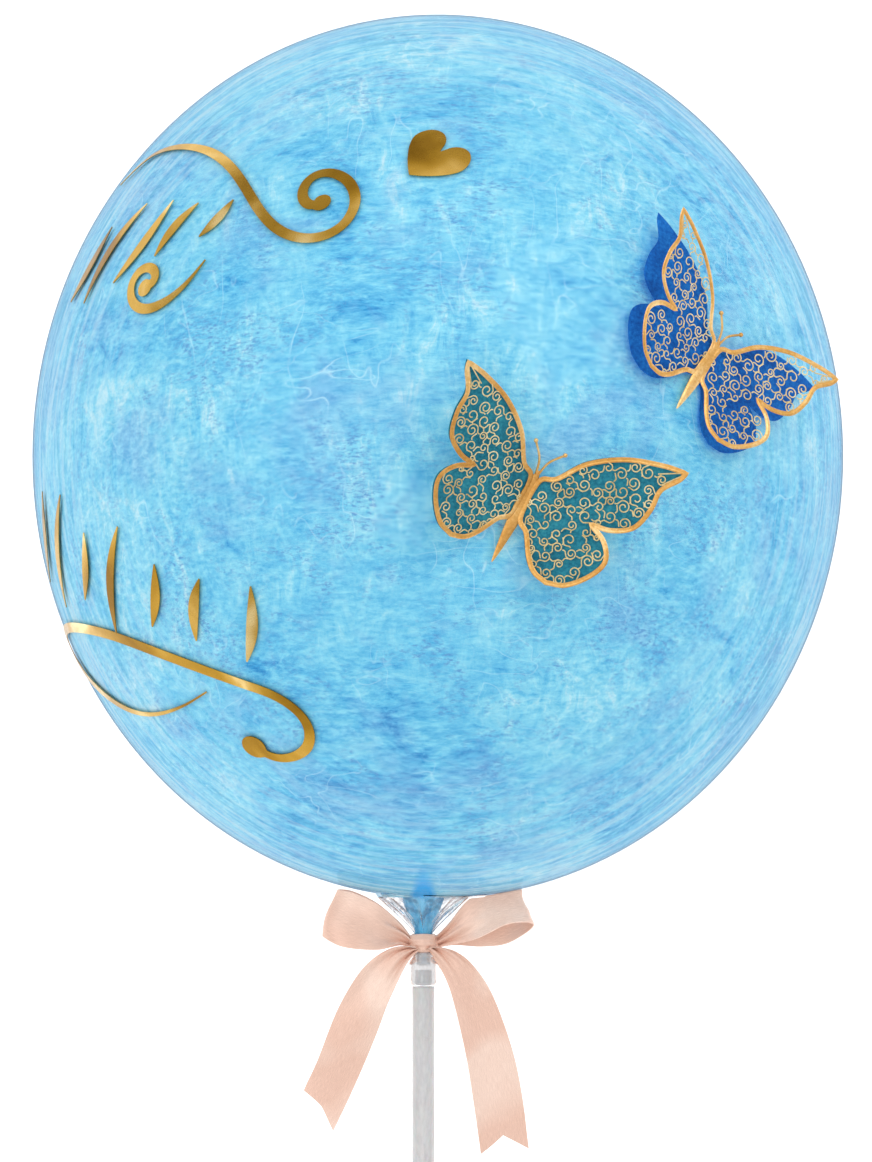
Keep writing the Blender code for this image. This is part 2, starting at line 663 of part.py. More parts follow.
def main():
    for old in list(bpy.data.objects):
        bpy.data.objects.remove(old, do_unlink=True)
    tilt = resting_tilt()
    balloon = bpy.data.objects.new("balloon axis", None)
    bpy.context.scene.collection.objects.link(balloon)
    balloon.rotation_euler.x = tilt
    balloon.location = -(Matrix.Rotation(tilt, 3, "X") @ flat_centre(tilt))

    film = material("clear_film", (0.330, 0.640, 0.850), 0.05, transmission=0.8, alpha=0.6)
    clear = material("clear_plastic", (0.750, 0.770, 0.780), 0.12, transmission=0.8, alpha=0.6)
    tube = material("frosted_plastic", (0.630, 0.630, 0.630), 0.3, transmission=0.3)
    satin = material("peach_satin", (0.870, 0.620, 0.490), 0.38)
    gold = material("gold_foil", (0.600, 0.330, 0.080), 0.3, metallic=1.0)

    build_bubble(film, balloon, tilt)
    build_cup(clear, balloon)
    build_stick(tube, balloon)
    build_bow(satin, balloon)
    scroll("scroll_upper", SCROLL_UPPER_PLACE, SCROLL_UPPER_SIZE, SCROLL_UPPER_RUN, SCROLL_UPPER_SPIRAL,
           BALL_RADIUS, gold, balloon)
    scroll("scroll_curl", SCROLL_CURL_PLACE, SCROLL_CURL_SIZE, SCROLL_CURL_RUN, SCROLL_CURL_SPIRAL,
           BALL_RADIUS, gold, balloon)
    scroll("scroll_lower", SCROLL_LOWER_PLACE, SCROLL_LOWER_SIZE, SCROLL_LOWER_RUN, SCROLL_LOWER_SPIRAL,
           LOWER_BALL_RADIUS, gold, balloon)
    stroke_rows(gold, balloon)
    build_heart(gold, balloon)
    build_butterflies(gold, balloon)


main()
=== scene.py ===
"""Looks of a clear bubble balloon that lies on its side, with a clouded blue balloon sealed in it.

Each piece is modelled in the balloon's own frame: X to the right, Y along the stick towards the
bubble, Z to the front, with the bubble's centre at the origin. lay_down() then puts the piece where
the CAD model lies. Metres throughout.
"""

import json
import math
import random

import bpy
from mathutils import Matrix, Vector


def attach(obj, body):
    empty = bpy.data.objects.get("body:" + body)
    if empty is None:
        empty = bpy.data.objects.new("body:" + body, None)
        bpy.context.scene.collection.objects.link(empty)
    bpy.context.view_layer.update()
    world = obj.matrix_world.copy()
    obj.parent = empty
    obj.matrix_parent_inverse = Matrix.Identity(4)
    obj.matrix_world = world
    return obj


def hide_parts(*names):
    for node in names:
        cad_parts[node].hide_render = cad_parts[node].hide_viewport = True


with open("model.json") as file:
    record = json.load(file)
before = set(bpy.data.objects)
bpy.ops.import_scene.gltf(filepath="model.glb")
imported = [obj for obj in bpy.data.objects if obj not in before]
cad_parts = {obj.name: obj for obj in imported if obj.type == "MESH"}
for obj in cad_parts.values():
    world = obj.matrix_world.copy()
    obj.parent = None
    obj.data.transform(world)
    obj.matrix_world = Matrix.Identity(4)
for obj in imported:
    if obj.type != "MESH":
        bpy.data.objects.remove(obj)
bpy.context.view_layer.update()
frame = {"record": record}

# Photograph: its frame in pixels, the bubble's centre in it and the size of one pixel
PHOTO_WIDTH = 872
PHOTO_HEIGHT = 1162
BUBBLE_CENTRE_PIXEL = (437.8, 456.5)
PIXEL = 0.0004931
CAMERA_DISTANCE = 10.0
SENSOR = 36.0

# Bubble and its neck
BUBBLE_RADIUS = 0.2
BUBBLE_HALF_HEIGHT = 0.218
BUBBLE_SEGMENTS = 144
BUBBLE_RINGS = 96
FILM_THICKNESS = 0.0005
NECK_MOUTH_RADIUS = 0.024
NECK_LENGTH = 0.0175
NECK_RADIUS = 0.0045
NECK_FLARE = 1.5
NECK_ROWS = 20
PLEATS = 9
PLEAT_DEPTH = 0.0017
CLEARANCE = 0.0003

# Blue balloon sealed in the bubble, and its neck
INNER_GAP = 0.0009
INNER_NECK_PROFILE = (
    (0.0058, -0.205), (0.0058, -0.214), (0.0078, -0.2155), (0.0106, -0.2165), (0.0104, -0.2185),
    (0.009, -0.2215), (0.0072, -0.2255), (0.0054, -0.23), (0.0042, -0.234), (0.0036, -0.2395),
    (0.0036, -0.248),
)
FUNNEL_TOP = -0.2165
FUNNEL_HEIGHT = 0.016
FUNNEL_WAVE = 0.07
SLEEVE_PATCH = (0.0075, 0.028, 0.08)
THREAD_WIDTH = 0.006

# Cup and stick
STICK_OFFSET = -0.0071
STICK_RADIUS = 0.0055
STICK_LENGTH = 0.4
STICK_GRIP = 0.008
STICK_WALL = 0.0009
CUP_TOP_RADIUS = 0.0058
CUP_SHOULDER_DROP = 0.004
CUP_RADIUS = 0.0082
CUP_HEIGHT = 0.0168
CUP_ROUNDING = 0.0022
CUP_SOCKET_DEPTH = 0.006
CUP_SIDES = 64
STICK_SIDES = 48
STICK_RINGS = 24
PLUG_DEPTH = 0.0015
EDGE = 0.0003
CORE_RADIUS = 0.0004

# Ribbon bow
RIBBON_WIDTH = 0.025
RIBBON_THICKNESS = 0.0006
RIBBON_RIPPLE = 0.0012
GATHER_DEPTH = 0.0021
RIBBON_STEPS = 14
RIBBON_COLUMNS = 28
KNOT_HEIGHT = 0.0088
KNOT_WALL = 0.0024
LOOP_REACH = 0.051
TAIL_DROP = 0.105
NOTCH_DEPTH = 0.009

# Gold foil on the bubble
FOIL_THICKNESS = 0.0004
SCROLL_WIDTH = 0.0052
SCROLL_SIZE = 0.1
SCROLL_SMOOTHING = 24
BALL_RADIUS = 0.0046
LOWER_BALL_RADIUS = 0.0068
STROKE_WIDTH = 0.0062
STROKE_BEND = 0.06
UPPER_ROW_START = (-0.064, -0.02)
UPPER_STROKE_PITCH = 0.024
UPPER_STROKE_LENGTHS = (0.046, 0.062, 0.052, 0.034, 0.024)
LOWER_ROW_START = (-0.106, 0.027)
LOWER_STROKE_PITCH = 0.0275
LOWER_STROKE_LENGTHS = (0.048, 0.06, 0.036, 0.058, 0.034, 0.034, 0.042)
HEART_WIDTH = 0.033
HEART_HEIGHT = 0.031
HEART_TILT = 45
TIP_WIDTH = 0.0008

# Paper butterflies
TEAL_HALF_SPAN = 0.0654
BLUE_HALF_SPAN = 0.0615
TEAL_LACE_LIFT = math.radians(20)
TEAL_BACKING_LIFT = math.radians(19.2)
BLUE_LACE_LIFT = math.radians(9)
BLUE_BACKING_CLING = 0.5
PAPER_THICKNESS = 0.0004
BACKING_BODY_THICKNESS = 0.0009
LACE_BODY_THICKNESS = 0.0016
BODY_HALF_WIDTH = 0.0034
BODY_TAIL = -0.385
BODY_HEAD = 0.375
ANTENNA_RADIUS = 0.0006
RIM_WIDTH = 0.0025
LINE_WIDTH = 0.00064
CURL_SPACING = 0.0074
CURL_RADIUS = 0.003
CURL_JITTER = 0.0009

# Floor, and lamps, each with its place, its side in metres and its power in watts
FLOOR_RADIUS = 6.0
LAMPS = (
    ("key light", (2.2, 1.4, 3.2), 2.4, 34.0),
    ("fill light", (-2.6, -0.4, 2.8), 2.4, 20.0),
    ("top light", (-0.2, 2.6, 3.0), 2.0, 6.0),
    ("front light", (-0.7, -1.9, 3.6), 1.1, 9.0),
)

# Heights along the balloon's axis
KNOT_TOP = -BUBBLE_HALF_HEIGHT - NECK_LENGTH
KNOT_CENTRE = KNOT_TOP - KNOT_HEIGHT / 2
CUP_TOP = KNOT_TOP - KNOT_HEIGHT - CLEARANCE
CUP_BOTTOM = CUP_TOP - CUP_HEIGHT
NECK_END = CUP_TOP - CUP_SOCKET_DEPTH + CLEARANCE
STICK_TOP = CUP_BOTTOM + STICK_GRIP
STICK_END = CUP_BOTTOM - STICK_LENGTH

# Places on the bubble, as longitude from the front and latitude, in degrees
HEART_PLACE = (-1.1, 41.3)
SCROLL_UPPER_PLACE = (-39.0, 39.2)
SCROLL_CURL_PLACE = (-51.5, 21.0)
SCROLL_LOWER_PLACE = (-37.3, -30.1)
UPPER_ROW_PLACE = (-50.2, 30.8)
LOWER_ROW_PLACE = (-48.1, -17.6)
TEAL_PLACE = (10.8, -7.8)
BLUE_PLACE = (39.5, 10.2)

# Way that each butterfly heads along the skin, clockwise from the bubble's top, in degrees
TEAL_HEADING = 26.5
BLUE_HEADING = 44.0

# Pen lines of the scrolls in shares of their size, each to the middle of its ball
SCROLL_UPPER_PATH = (
    (-1.106, -0.06), (-0.891, 0.093), (-0.718, 0.156), (-0.508, 0.176), (-0.313, 0.151),
    (-0.158, 0.093), (-0.016, 0.001), (0.111, -0.114), (0.231, -0.236), (0.345, -0.331),
    (0.45, -0.383), (0.556, -0.402), (0.655, -0.377), (0.719, -0.307), (0.727, -0.2),
    (0.675, -0.101), (0.599, -0.038), (0.513, -0.012), (0.449, -0.038), (0.426, -0.101),
    (0.446, -0.17), (0.5, -0.212), (0.553, -0.196),
)
SCROLL_CURL_PATH = (
    (0.402, 0.18), (0.362, 0.103), (0.309, 0.03), (0.223, -0.04), (0.12, -0.077),
    (0.026, -0.066), (-0.044, -0.016), (-0.07, 0.056), (-0.044, 0.118), (0.018, 0.144),
    (0.082, 0.122), (0.1, 0.07), (0.044, 0.034),
)
SCROLL_LOWER_PATH = (
    (-0.122, -0.068), (-0.32, -0.152), (-0.57, -0.203), (-0.82, -0.184), (-1.1, -0.094),
    (-1.358, 0.019), (-1.56, 0.13), (-1.6, 0.205), (-1.48, 0.268), (-1.182, 0.285),
    (-0.824, 0.258), (-0.543, 0.199), (-0.248, 0.11), (-0.032, 0.035), (0.12, -0.022),
    (0.267, -0.082), (0.363, -0.17), (0.392, -0.276), (0.345, -0.392), (0.24, -0.462),
    (0.125, -0.47), (0.035, -0.4),
)

# Edges of one wing as (out, forward) shares of the half span, from the hind wing's foot to the tip
WING_INNER = (
    (0.43, -0.354), (0.31, -0.325), (0.215, -0.24), (0.11, -0.08), (0.018, 0.01),
    (0.018, 0.3), (0.13, 0.38), (0.285, 0.595), (0.53, 0.758), (0.815, 0.845), (1.0, 0.872),
)
WING_OUTER = (
    (0.43, -0.354), (0.58, -0.3), (0.715, -0.15), (0.769, 0.005), (0.69, 0.13), (0.54, 0.196),
)
WING_TRAILING = (
    (0.54, 0.196), (0.7, 0.225), (0.842, 0.322), (0.892, 0.5), (0.89, 0.668), (0.975, 0.8),
    (1.0, 0.872),
)
ANTENNA_PATH = ((0.008, 0.34), (0.04, 0.46), (0.125, 0.565))

# Ribbon stations: the middle, in shares of the loop's reach or of the tail's drop, then the vector
# across the ribbon, in shares of its width
LEFT_LOOP = (
    ((-0.235, 0.085, 0.07), (0.01, -0.42, 0.04)),
    ((-0.45, 0.157, 0.167), (0.0, -0.9, 0.08)),
    ((-0.725, 0.225, 0.147), (-0.2, -1.06, 0.0)),
    ((-0.91, 0.294, 0.0), (-0.25, -0.92, 0.0)),
    ((-0.725, 0.245, -0.147), (-0.16, -1.04, 0.0)),
    ((-0.45, 0.176, -0.167), (0.0, -0.84, -0.08)),
    ((-0.235, 0.098, -0.127), (0.0, -0.4, 0.0)),
)
RIGHT_LOOP = (
    ((0.265, 0.092, 0.07), (0.01, -0.43, 0.04)),
    ((0.49, 0.243, 0.15), (0.08, -0.8, 0.16)),
    ((0.775, 0.345, 0.059), (0.14, -0.68, 0.6)),
    ((1.002, 0.345, -0.157), (0.18, -0.72, 0.4)),
    ((0.785, 0.247, -0.294), (0.16, -1.02, 0.16)),
    ((0.53, 0.176, -0.255), (0.12, -0.88, 0.0)),
    ((0.275, 0.067, -0.157), (0.08, -0.36, 0.0)),
)
LEFT_TAIL = (
    ((-0.123, -0.067, 0.07), (0.36, -0.28, 0.08)),
    ((-0.219, -0.187, 0.06), (0.56, -0.56, 0.08)),
    ((-0.305, -0.352, 0.0), (0.8, -0.4, 0.2)),
    ((-0.4, -0.59, -0.105), (0.8, -0.3, 0.2)),
    ((-0.49, -0.79, -0.21), (0.59, -0.79, 0.16)),
)
RIGHT_TAIL = (
    ((0.097, -0.05, 0.07), (0.44, 0.09, 0.0)),
    ((0.171, -0.137, 0.066), (0.56, 0.24, -0.08)),
    ((0.236, -0.271, 0.028), (0.76, 0.2, -0.12)),
    ((0.31, -0.524, -0.057), (0.88, 0.23, -0.16)),
    ((0.354, -0.76, -0.143), (0.94, 0.18, -0.16)),
    ((0.384, -0.986, -0.229), (0.96, 0.08, -0.16)),
)


# Where things lie


def lying_place():
    """Matrix from the balloon's own frame to the frame that the CAD model lies in."""
    end = next(mount for mount in frame["record"]["mounts"] if mount["name"] == "stick_end")
    tilt = math.asin(-end["axis"][2])
    turn = Matrix.Rotation(tilt, 4, "X")
    return Matrix.Translation(Vector(end["pos_m"]) - turn @ Vector((STICK_OFFSET, STICK_END, 0.0))) @ turn


LYING = lying_place()


def outward(point):
    """Unit vector that leaves the bubble squarely at a point of its skin."""
    wide, high = BUBBLE_RADIUS**2, BUBBLE_HALF_HEIGHT**2
    return Vector((point.x / wide, point.y / high, point.z / wide)).normalized()


def on_bubble(longitude, latitude, height=0.0):
    around, high = BUBBLE_RADIUS * math.cos(latitude), BUBBLE_HALF_HEIGHT * math.sin(latitude)
    point = Vector((around * math.sin(longitude), high, around * math.cos(longitude)))
    return point + outward(point) * height


def on_foil(place, east, north, height):
    """A point of a foil sheet laid on the bubble: metres east and north of the sheet's place."""
    latitude = math.radians(place[1]) + north / BUBBLE_HALF_HEIGHT
    longitude = math.radians(place[0]) + east / (BUBBLE_RADIUS * math.cos(latitude))
    return on_bubble(longitude, latitude, height)


def clear_of_bubble(point, room):
    """The point, moved straight out from the bubble's centre where it would come too near the skin."""
    wide, high = BUBBLE_RADIUS + room, BUBBLE_HALF_HEIGHT + room
    far = Vector((point.x / wide, point.y / high, point.z / wide)).length
    return point / far if far < 1.0 else point


def skin_frame(place, heading):
    """Matrix that puts right, forward and outward of a thing on the bubble along its X, Y and Z."""
    longitude, latitude = math.radians(place[0]), math.radians(place[1])
    point = on_bubble(longitude, latitude)
    out = outward(point)
    north = (on_bubble(longitude, latitude + 1e-4) - point).normalized()
    east = north.cross(out)
    turn = math.radians(heading)
    forward = north * math.cos(turn) + east * math.sin(turn)
    right = forward.cross(out)
    return Matrix.Translation(point) @ Matrix((right, forward, out)).transposed().to_4x4()


def skin_drop(place, right, forward):
    """How far the skin has fallen away under a point of the plane that touches it at the butterfly's body."""
    start = place @ Vector((right, forward, 0.0))
    down = place.to_3x3() @ Vector((0.0, 0.0, -1.0))
    squash = Matrix.Diagonal((1 / BUBBLE_RADIUS, 1 / BUBBLE_HALF_HEIGHT, 1 / BUBBLE_RADIUS))
    p, d = squash @ start, squash @ down
    half = p.dot(d)
    room = half**2 - d.dot(d) * (p.dot(p) - 1.0)
    return (-half - math.sqrt(max(0.0, room))) / d.dot(d)


def spline(points, steps):
    """A smooth curve through the points, with a number of steps between each two of them."""
    points = [Vector(point) for point in points]
    ends = [points[0] * 2 - points[1], *points, points[-1] * 2 - points[-2]]
    curve = []
    for a, b, c, d in zip(ends, ends[1:], ends[2:], ends[3:]):
        for step in range(steps):
            t = step / steps
            bend, twist = a * 2 - b * 5 + c * 4 - d, b * 3 - a - c * 3 + d
            curve.append((b * 2 + (c - a) * t + bend * t**2 + twist * t**3) / 2)
    return [*curve, points[-1]]


# Tools for modelling


def begin():
    """Leaves nothing selected, so that the next operator acts on the new piece alone."""
    if bpy.context.object and bpy.context.object.mode != "OBJECT":
        bpy.ops.object.mode_set(mode="OBJECT")
    bpy.ops.object.select_all(action="DESELECT")


def only(made):
    begin()
    made.select_set(True)
    bpy.context.view_layer.objects.active = made
    return made


def named(name):
    made = bpy.context.object
    made.name = name
    made.data.name = name
    return made


def edit(made, what="FACE", action="SELECT"):
    """Opens a piece for editing, with all of it selected unless the action says otherwise."""
    only(made)
    bpy.ops.object.mode_set(mode="EDIT")
    bpy.ops.mesh.select_mode(type=what)
    bpy.ops.mesh.select_all(action=action)


def leave():
    bpy.ops.object.mode_set(mode="OBJECT")


def turned(name, profile, sides):
    """A closed piece turned about its Y axis, drawn as one ring after another from (radius, y) pairs."""
    begin()
    radius, y = profile[0]
    bpy.ops.mesh.primitive_circle_add(
        vertices=sides, radius=radius, location=(0, y, 0), rotation=(math.pi / 2, 0, 0)
    )
    made = named(name)
    bpy.ops.object.transform_apply(location=True, rotation=True, scale=True)
    edit(made, "EDGE")
    bpy.ops.mesh.edge_face_add()
    bpy.ops.mesh.select_mode(type="FACE")
    for (before, y_before), (radius, y) in zip(profile, profile[1:]):
        bpy.ops.mesh.extrude_region_move(TRANSFORM_OT_translate={"value": (0, y - y_before, 0)})
        share = radius / before
        bpy.ops.transform.resize(value=(share, 1, share), center_override=(0, y, 0))
    bpy.ops.mesh.select_all(action="SELECT")
    bpy.ops.mesh.normals_make_consistent(inside=False)
    leave()
    return made


def laid_grid(name, rows):
    """A grid whose points are laid at the given places, row by row. Its UV map runs from 0 to 1."""
    begin()
    bpy.ops.mesh.primitive_grid_add(x_subdivisions=len(rows[0]) - 1, y_subdivisions=len(rows) - 1, size=1)
    made = named(name)
    points = [point for row in rows for point in row]
    for vertex, point in zip(made.data.vertices, points):
        vertex.co = point
    made.data.update()
    return made


def modify(made, kind, **settings):
    """Adds a modifier and applies it."""
    only(made)
    modifier = made.modifiers.new(kind.title(), kind)
    for key, value in settings.items():
        setattr(modifier, key, value)
    bpy.ops.object.modifier_apply(modifier=modifier.name)
    return made


def thicken(made, thickness, offset=0.0):
    return modify(made, "SOLIDIFY", thickness=thickness, offset=offset, use_even_offset=True)


def sewn(made):
    """Merges vertices that lie together and turns all faces outward."""
    edit(made)
    bpy.ops.mesh.remove_doubles(threshold=1e-6)
    bpy.ops.mesh.normals_make_consistent(inside=False)
    leave()
    return made


def joined(name, parts):
    begin()
    for part in parts:
        part.select_set(True)
    bpy.context.view_layer.objects.active = parts[0]
    bpy.ops.object.join()
    return named(name)


def put(name, data):
    """An object made of its data and linked to the scene."""
    made = bpy.data.objects.new(name, data)
    bpy.context.scene.collection.objects.link(made)
    return made


def lay_down(made):
    """Puts a piece made in the balloon's own frame where the CAD model lies."""
    only(made)
    made.matrix_world = LYING @ made.matrix_world
    bpy.context.view_layer.update()
    bpy.ops.object.transform_apply(location=True, rotation=True, scale=True)
    return made


def finish_piece(made, angle, material, slot, *nodes):
    """Smooths edges up to an angle, gives the material, hangs the piece from the root and hides the CAD parts
    that it stands for.
    """
    only(made)
    bpy.ops.object.shade_smooth_by_angle(angle=math.radians(angle))
    if material:
        made.data.materials.clear()
        made.data.materials.append(material)
    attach(made, "root")
    if nodes:
        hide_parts(*nodes)


# Materials


def feed(tree, socket, value):
    """Gives a socket its value, or links it to the socket that feeds it."""
    if isinstance(value, bpy.types.NodeSocket):
        tree.links.new(value, socket)
    else:
        socket.default_value = value


def node(tree, kind, inputs=None, **settings):
    """A shader node. An input is given a value, or the socket that feeds it."""
    made = tree.nodes.new(kind)
    for key, value in settings.items():
        setattr(made, key, value)
    for name, value in (inputs or {}).items():
        feed(tree, made.inputs[name], value)
    return made


def ramp(tree, factor, *stops):
    """Colours or grey values along a factor, from (position, value) stops."""
    made = node(tree, "ShaderNodeValToRGB", {"Fac": factor})
    elements = made.color_ramp.elements
    for number, (position, value) in enumerate(stops):
        element = elements[number] if number < 2 else elements.new(position)
        element.position = position
        element.color = (*value, 1.0) if isinstance(value, tuple) else (value, value, value, 1.0)
    return made.outputs["Color"]


def mix(tree, factor, first, second, blend="MIX"):
    made = node(tree, "ShaderNodeMix", data_type="RGBA", blend_type=blend)
    for index, value in ((0, factor), (6, first), (7, second)):
        feed(tree, made.inputs[index], (*value, 1.0) if isinstance(value, tuple) else value)
    return made.outputs[2]


def math_node(tree, operation, first, second=0.0, clamp=True):
    made = node(tree, "ShaderNodeMath", {0: first, 1: second}, operation=operation, use_clamp=clamp)
    return made.outputs[0]


def vector_node(tree, operation, first, second=(0.0, 0.0, 0.0)):
    return node(tree, "ShaderNodeVectorMath", {0: first, 1: second}, operation=operation).outputs[0]


def laid_over(tree, mask, places, under, colour):
    """A colour laid over another where a mask shows, in some places only."""
    return mix(tree, math_node(tree, "MULTIPLY", mask, places), under, colour)


def noise(tree, place, scale, detail=5.0, rough=0.55, warp=0.0):
    inputs = {"Vector": place, "Scale": scale, "Detail": detail, "Roughness": rough, "Distortion": warp}
    return node(tree, "ShaderNodeTexNoise", inputs).outputs["Fac"]


def stretched(tree, place, scale, turn=(0.0, 0.0, 0.0)):
    made = node(tree, "ShaderNodeMapping", {"Vector": place, "Rotation": turn, "Scale": scale})
    return made.outputs["Vector"]


def brushed(tree, place, scale, detail, rough, warp=0.0, turn=(0.0, 0.0, 0.0)):
    """Noise drawn out into fibres: the smaller the scale along an axis, the longer they run that way."""
    return noise(tree, stretched(tree, place, scale, turn), 1.0, detail, rough, warp)


def new_material(name):
    made = bpy.data.materials.new(name)
    made.use_nodes = True
    tree = made.node_tree
    return made, tree, tree.nodes["Principled BSDF"], node(tree, "ShaderNodeTexCoord").outputs["Object"]


def dress(tree, shader, **values):
    """Plain values, or the sockets that feed them, for inputs named with underscores for spaces."""
    for name, value in values.items():
        feed(tree, shader.inputs[name.replace("_", " ")], value)


def bump(tree, shader, height, strength, distance):
    made = node(tree, "ShaderNodeBump", {"Height": height, "Strength": strength, "Distance": distance})
    dress(tree, shader, Normal=made.outputs["Normal"])


def grain_group():
    """Fine random grain over a surface, as a mask, with a few larger blotches in it."""
    group = bpy.data.node_groups.new("fine grain", "ShaderNodeTree")
    group.interface.new_socket("Place", in_out="INPUT", socket_type="NodeSocketVector")
    for name, standard in (("Grain Size", 900.0), ("Blotch Size", 60.0), ("Blotches", 0.5)):
        socket = group.interface.new_socket(name, in_out="INPUT", socket_type="NodeSocketFloat")
        socket.default_value = standard
    group.interface.new_socket("Mask", in_out="OUTPUT", socket_type="NodeSocketFloat")
    start = node(group, "NodeGroupInput").outputs
    fine = noise(group, start["Place"], start["Grain Size"], 3.0, 0.6)
    blotch = noise(group, start["Place"], start["Blotch Size"], 4.0, 0.6)
    both = node(group, "ShaderNodeMix", {0: start["Blotches"], 2: fine, 3: blotch}, data_type="FLOAT")
    node(group, "NodeGroupOutput", {"Mask": both.outputs[0]})
    return group


GRAIN = grain_group()


def grain(tree, place, grain_size, blotch_size, blotches):
    inputs = {"Place": place, "Grain Size": grain_size, "Blotch Size": blotch_size, "Blotches": blotches}
    return node(tree, "ShaderNodeGroup", inputs, node_tree=GRAIN).outputs["Mask"]


def clear_film():
    made, tree, shader, place = new_material("clear film")
    dress(
        tree, shader, Base_Color=(0.8, 0.88, 0.92, 1.0), Roughness=0.0, IOR=1.0, Transmission_Weight=1.0,
        Coat_Weight=0.14, Coat_Roughness=0.03,
    )
    body = node(tree, "ShaderNodeVolumeAbsorption", {"Color": (0.3, 0.52, 0.66, 1.0), "Density": 120.0})
    tree.links.new(body.outputs["Volume"], tree.nodes["Material Output"].inputs["Volume"])
    bump(tree, shader, noise(tree, place, 14.0, 3.0, 0.5, 0.4), 0.12, 0.002)
    return made


def gathered_film():
    """The same film where it is gathered, with painted shade: grey streaks that stand in for the shading of
    folds lying on one another.
    """
    made, tree, shader, place = new_material("gathered film")
    folds = brushed(tree, place, (230.0, 36.0, 230.0), 3.0, 0.55, 0.3)
    # Painted shade: grey tints in the film's colour for the look of its folds.
    shade = ramp(tree, folds, (0.42, (0.58, 0.59, 0.62)), (0.5, (0.82, 0.83, 0.85)), (0.57, 0.98))
    dress(
        tree, shader, Base_Color=shade, Roughness=0.05, IOR=1.12, Transmission_Weight=1.0,
        Coat_Weight=0.5, Coat_Roughness=0.05,
    )
    bump(tree, shader, folds, 0.35, 0.001)
    return made


def ridges(tree, place, scale, turn):
    """Thin wandering lines, where a stretched noise crosses its middle value."""
    field = brushed(tree, place, scale, 2.0, 0.45, 0.25, turn)
    away = math_node(tree, "ABSOLUTE", math_node(tree, "SUBTRACT", field, 0.5, False))
    return ramp(tree, away, (0.0, 1.0), (THREAD_WIDTH, 0.0))


def painted_rim_streaks(tree, place):
    """Strokes that run round the balloon's axis of view, and a mask for its limb as seen along that axis, for
    painted rim highlights and painted rim shade.
    """
    upright = {"Vector": place, "Location": tuple(LYING.translation), "Rotation": tuple(LYING.to_euler())}
    fronted = node(tree, "ShaderNodeMapping", upright, vector_type="TEXTURE").outputs["Vector"]
    spoke = vector_node(tree, "NORMALIZE", vector_node(tree, "MULTIPLY", fronted, (1.0, 1.0, 0.0)))
    around = vector_node(tree, "MULTIPLY", spoke, (3.2, 3.2, 0.0))
    wound = vector_node(tree, "ADD", around, vector_node(tree, "MULTIPLY", fronted, (4.0, 4.0, 230.0)))
    forward = node(tree, "ShaderNodeSeparateXYZ", {"Vector": fronted}).outputs["Z"]
    limb = ramp(tree, math_node(tree, "ABSOLUTE", forward), (0.02, 1.0), (0.15, 0.0))
    return noise(tree, wound, 1.0, 5.0, 0.66, 0.3), limb


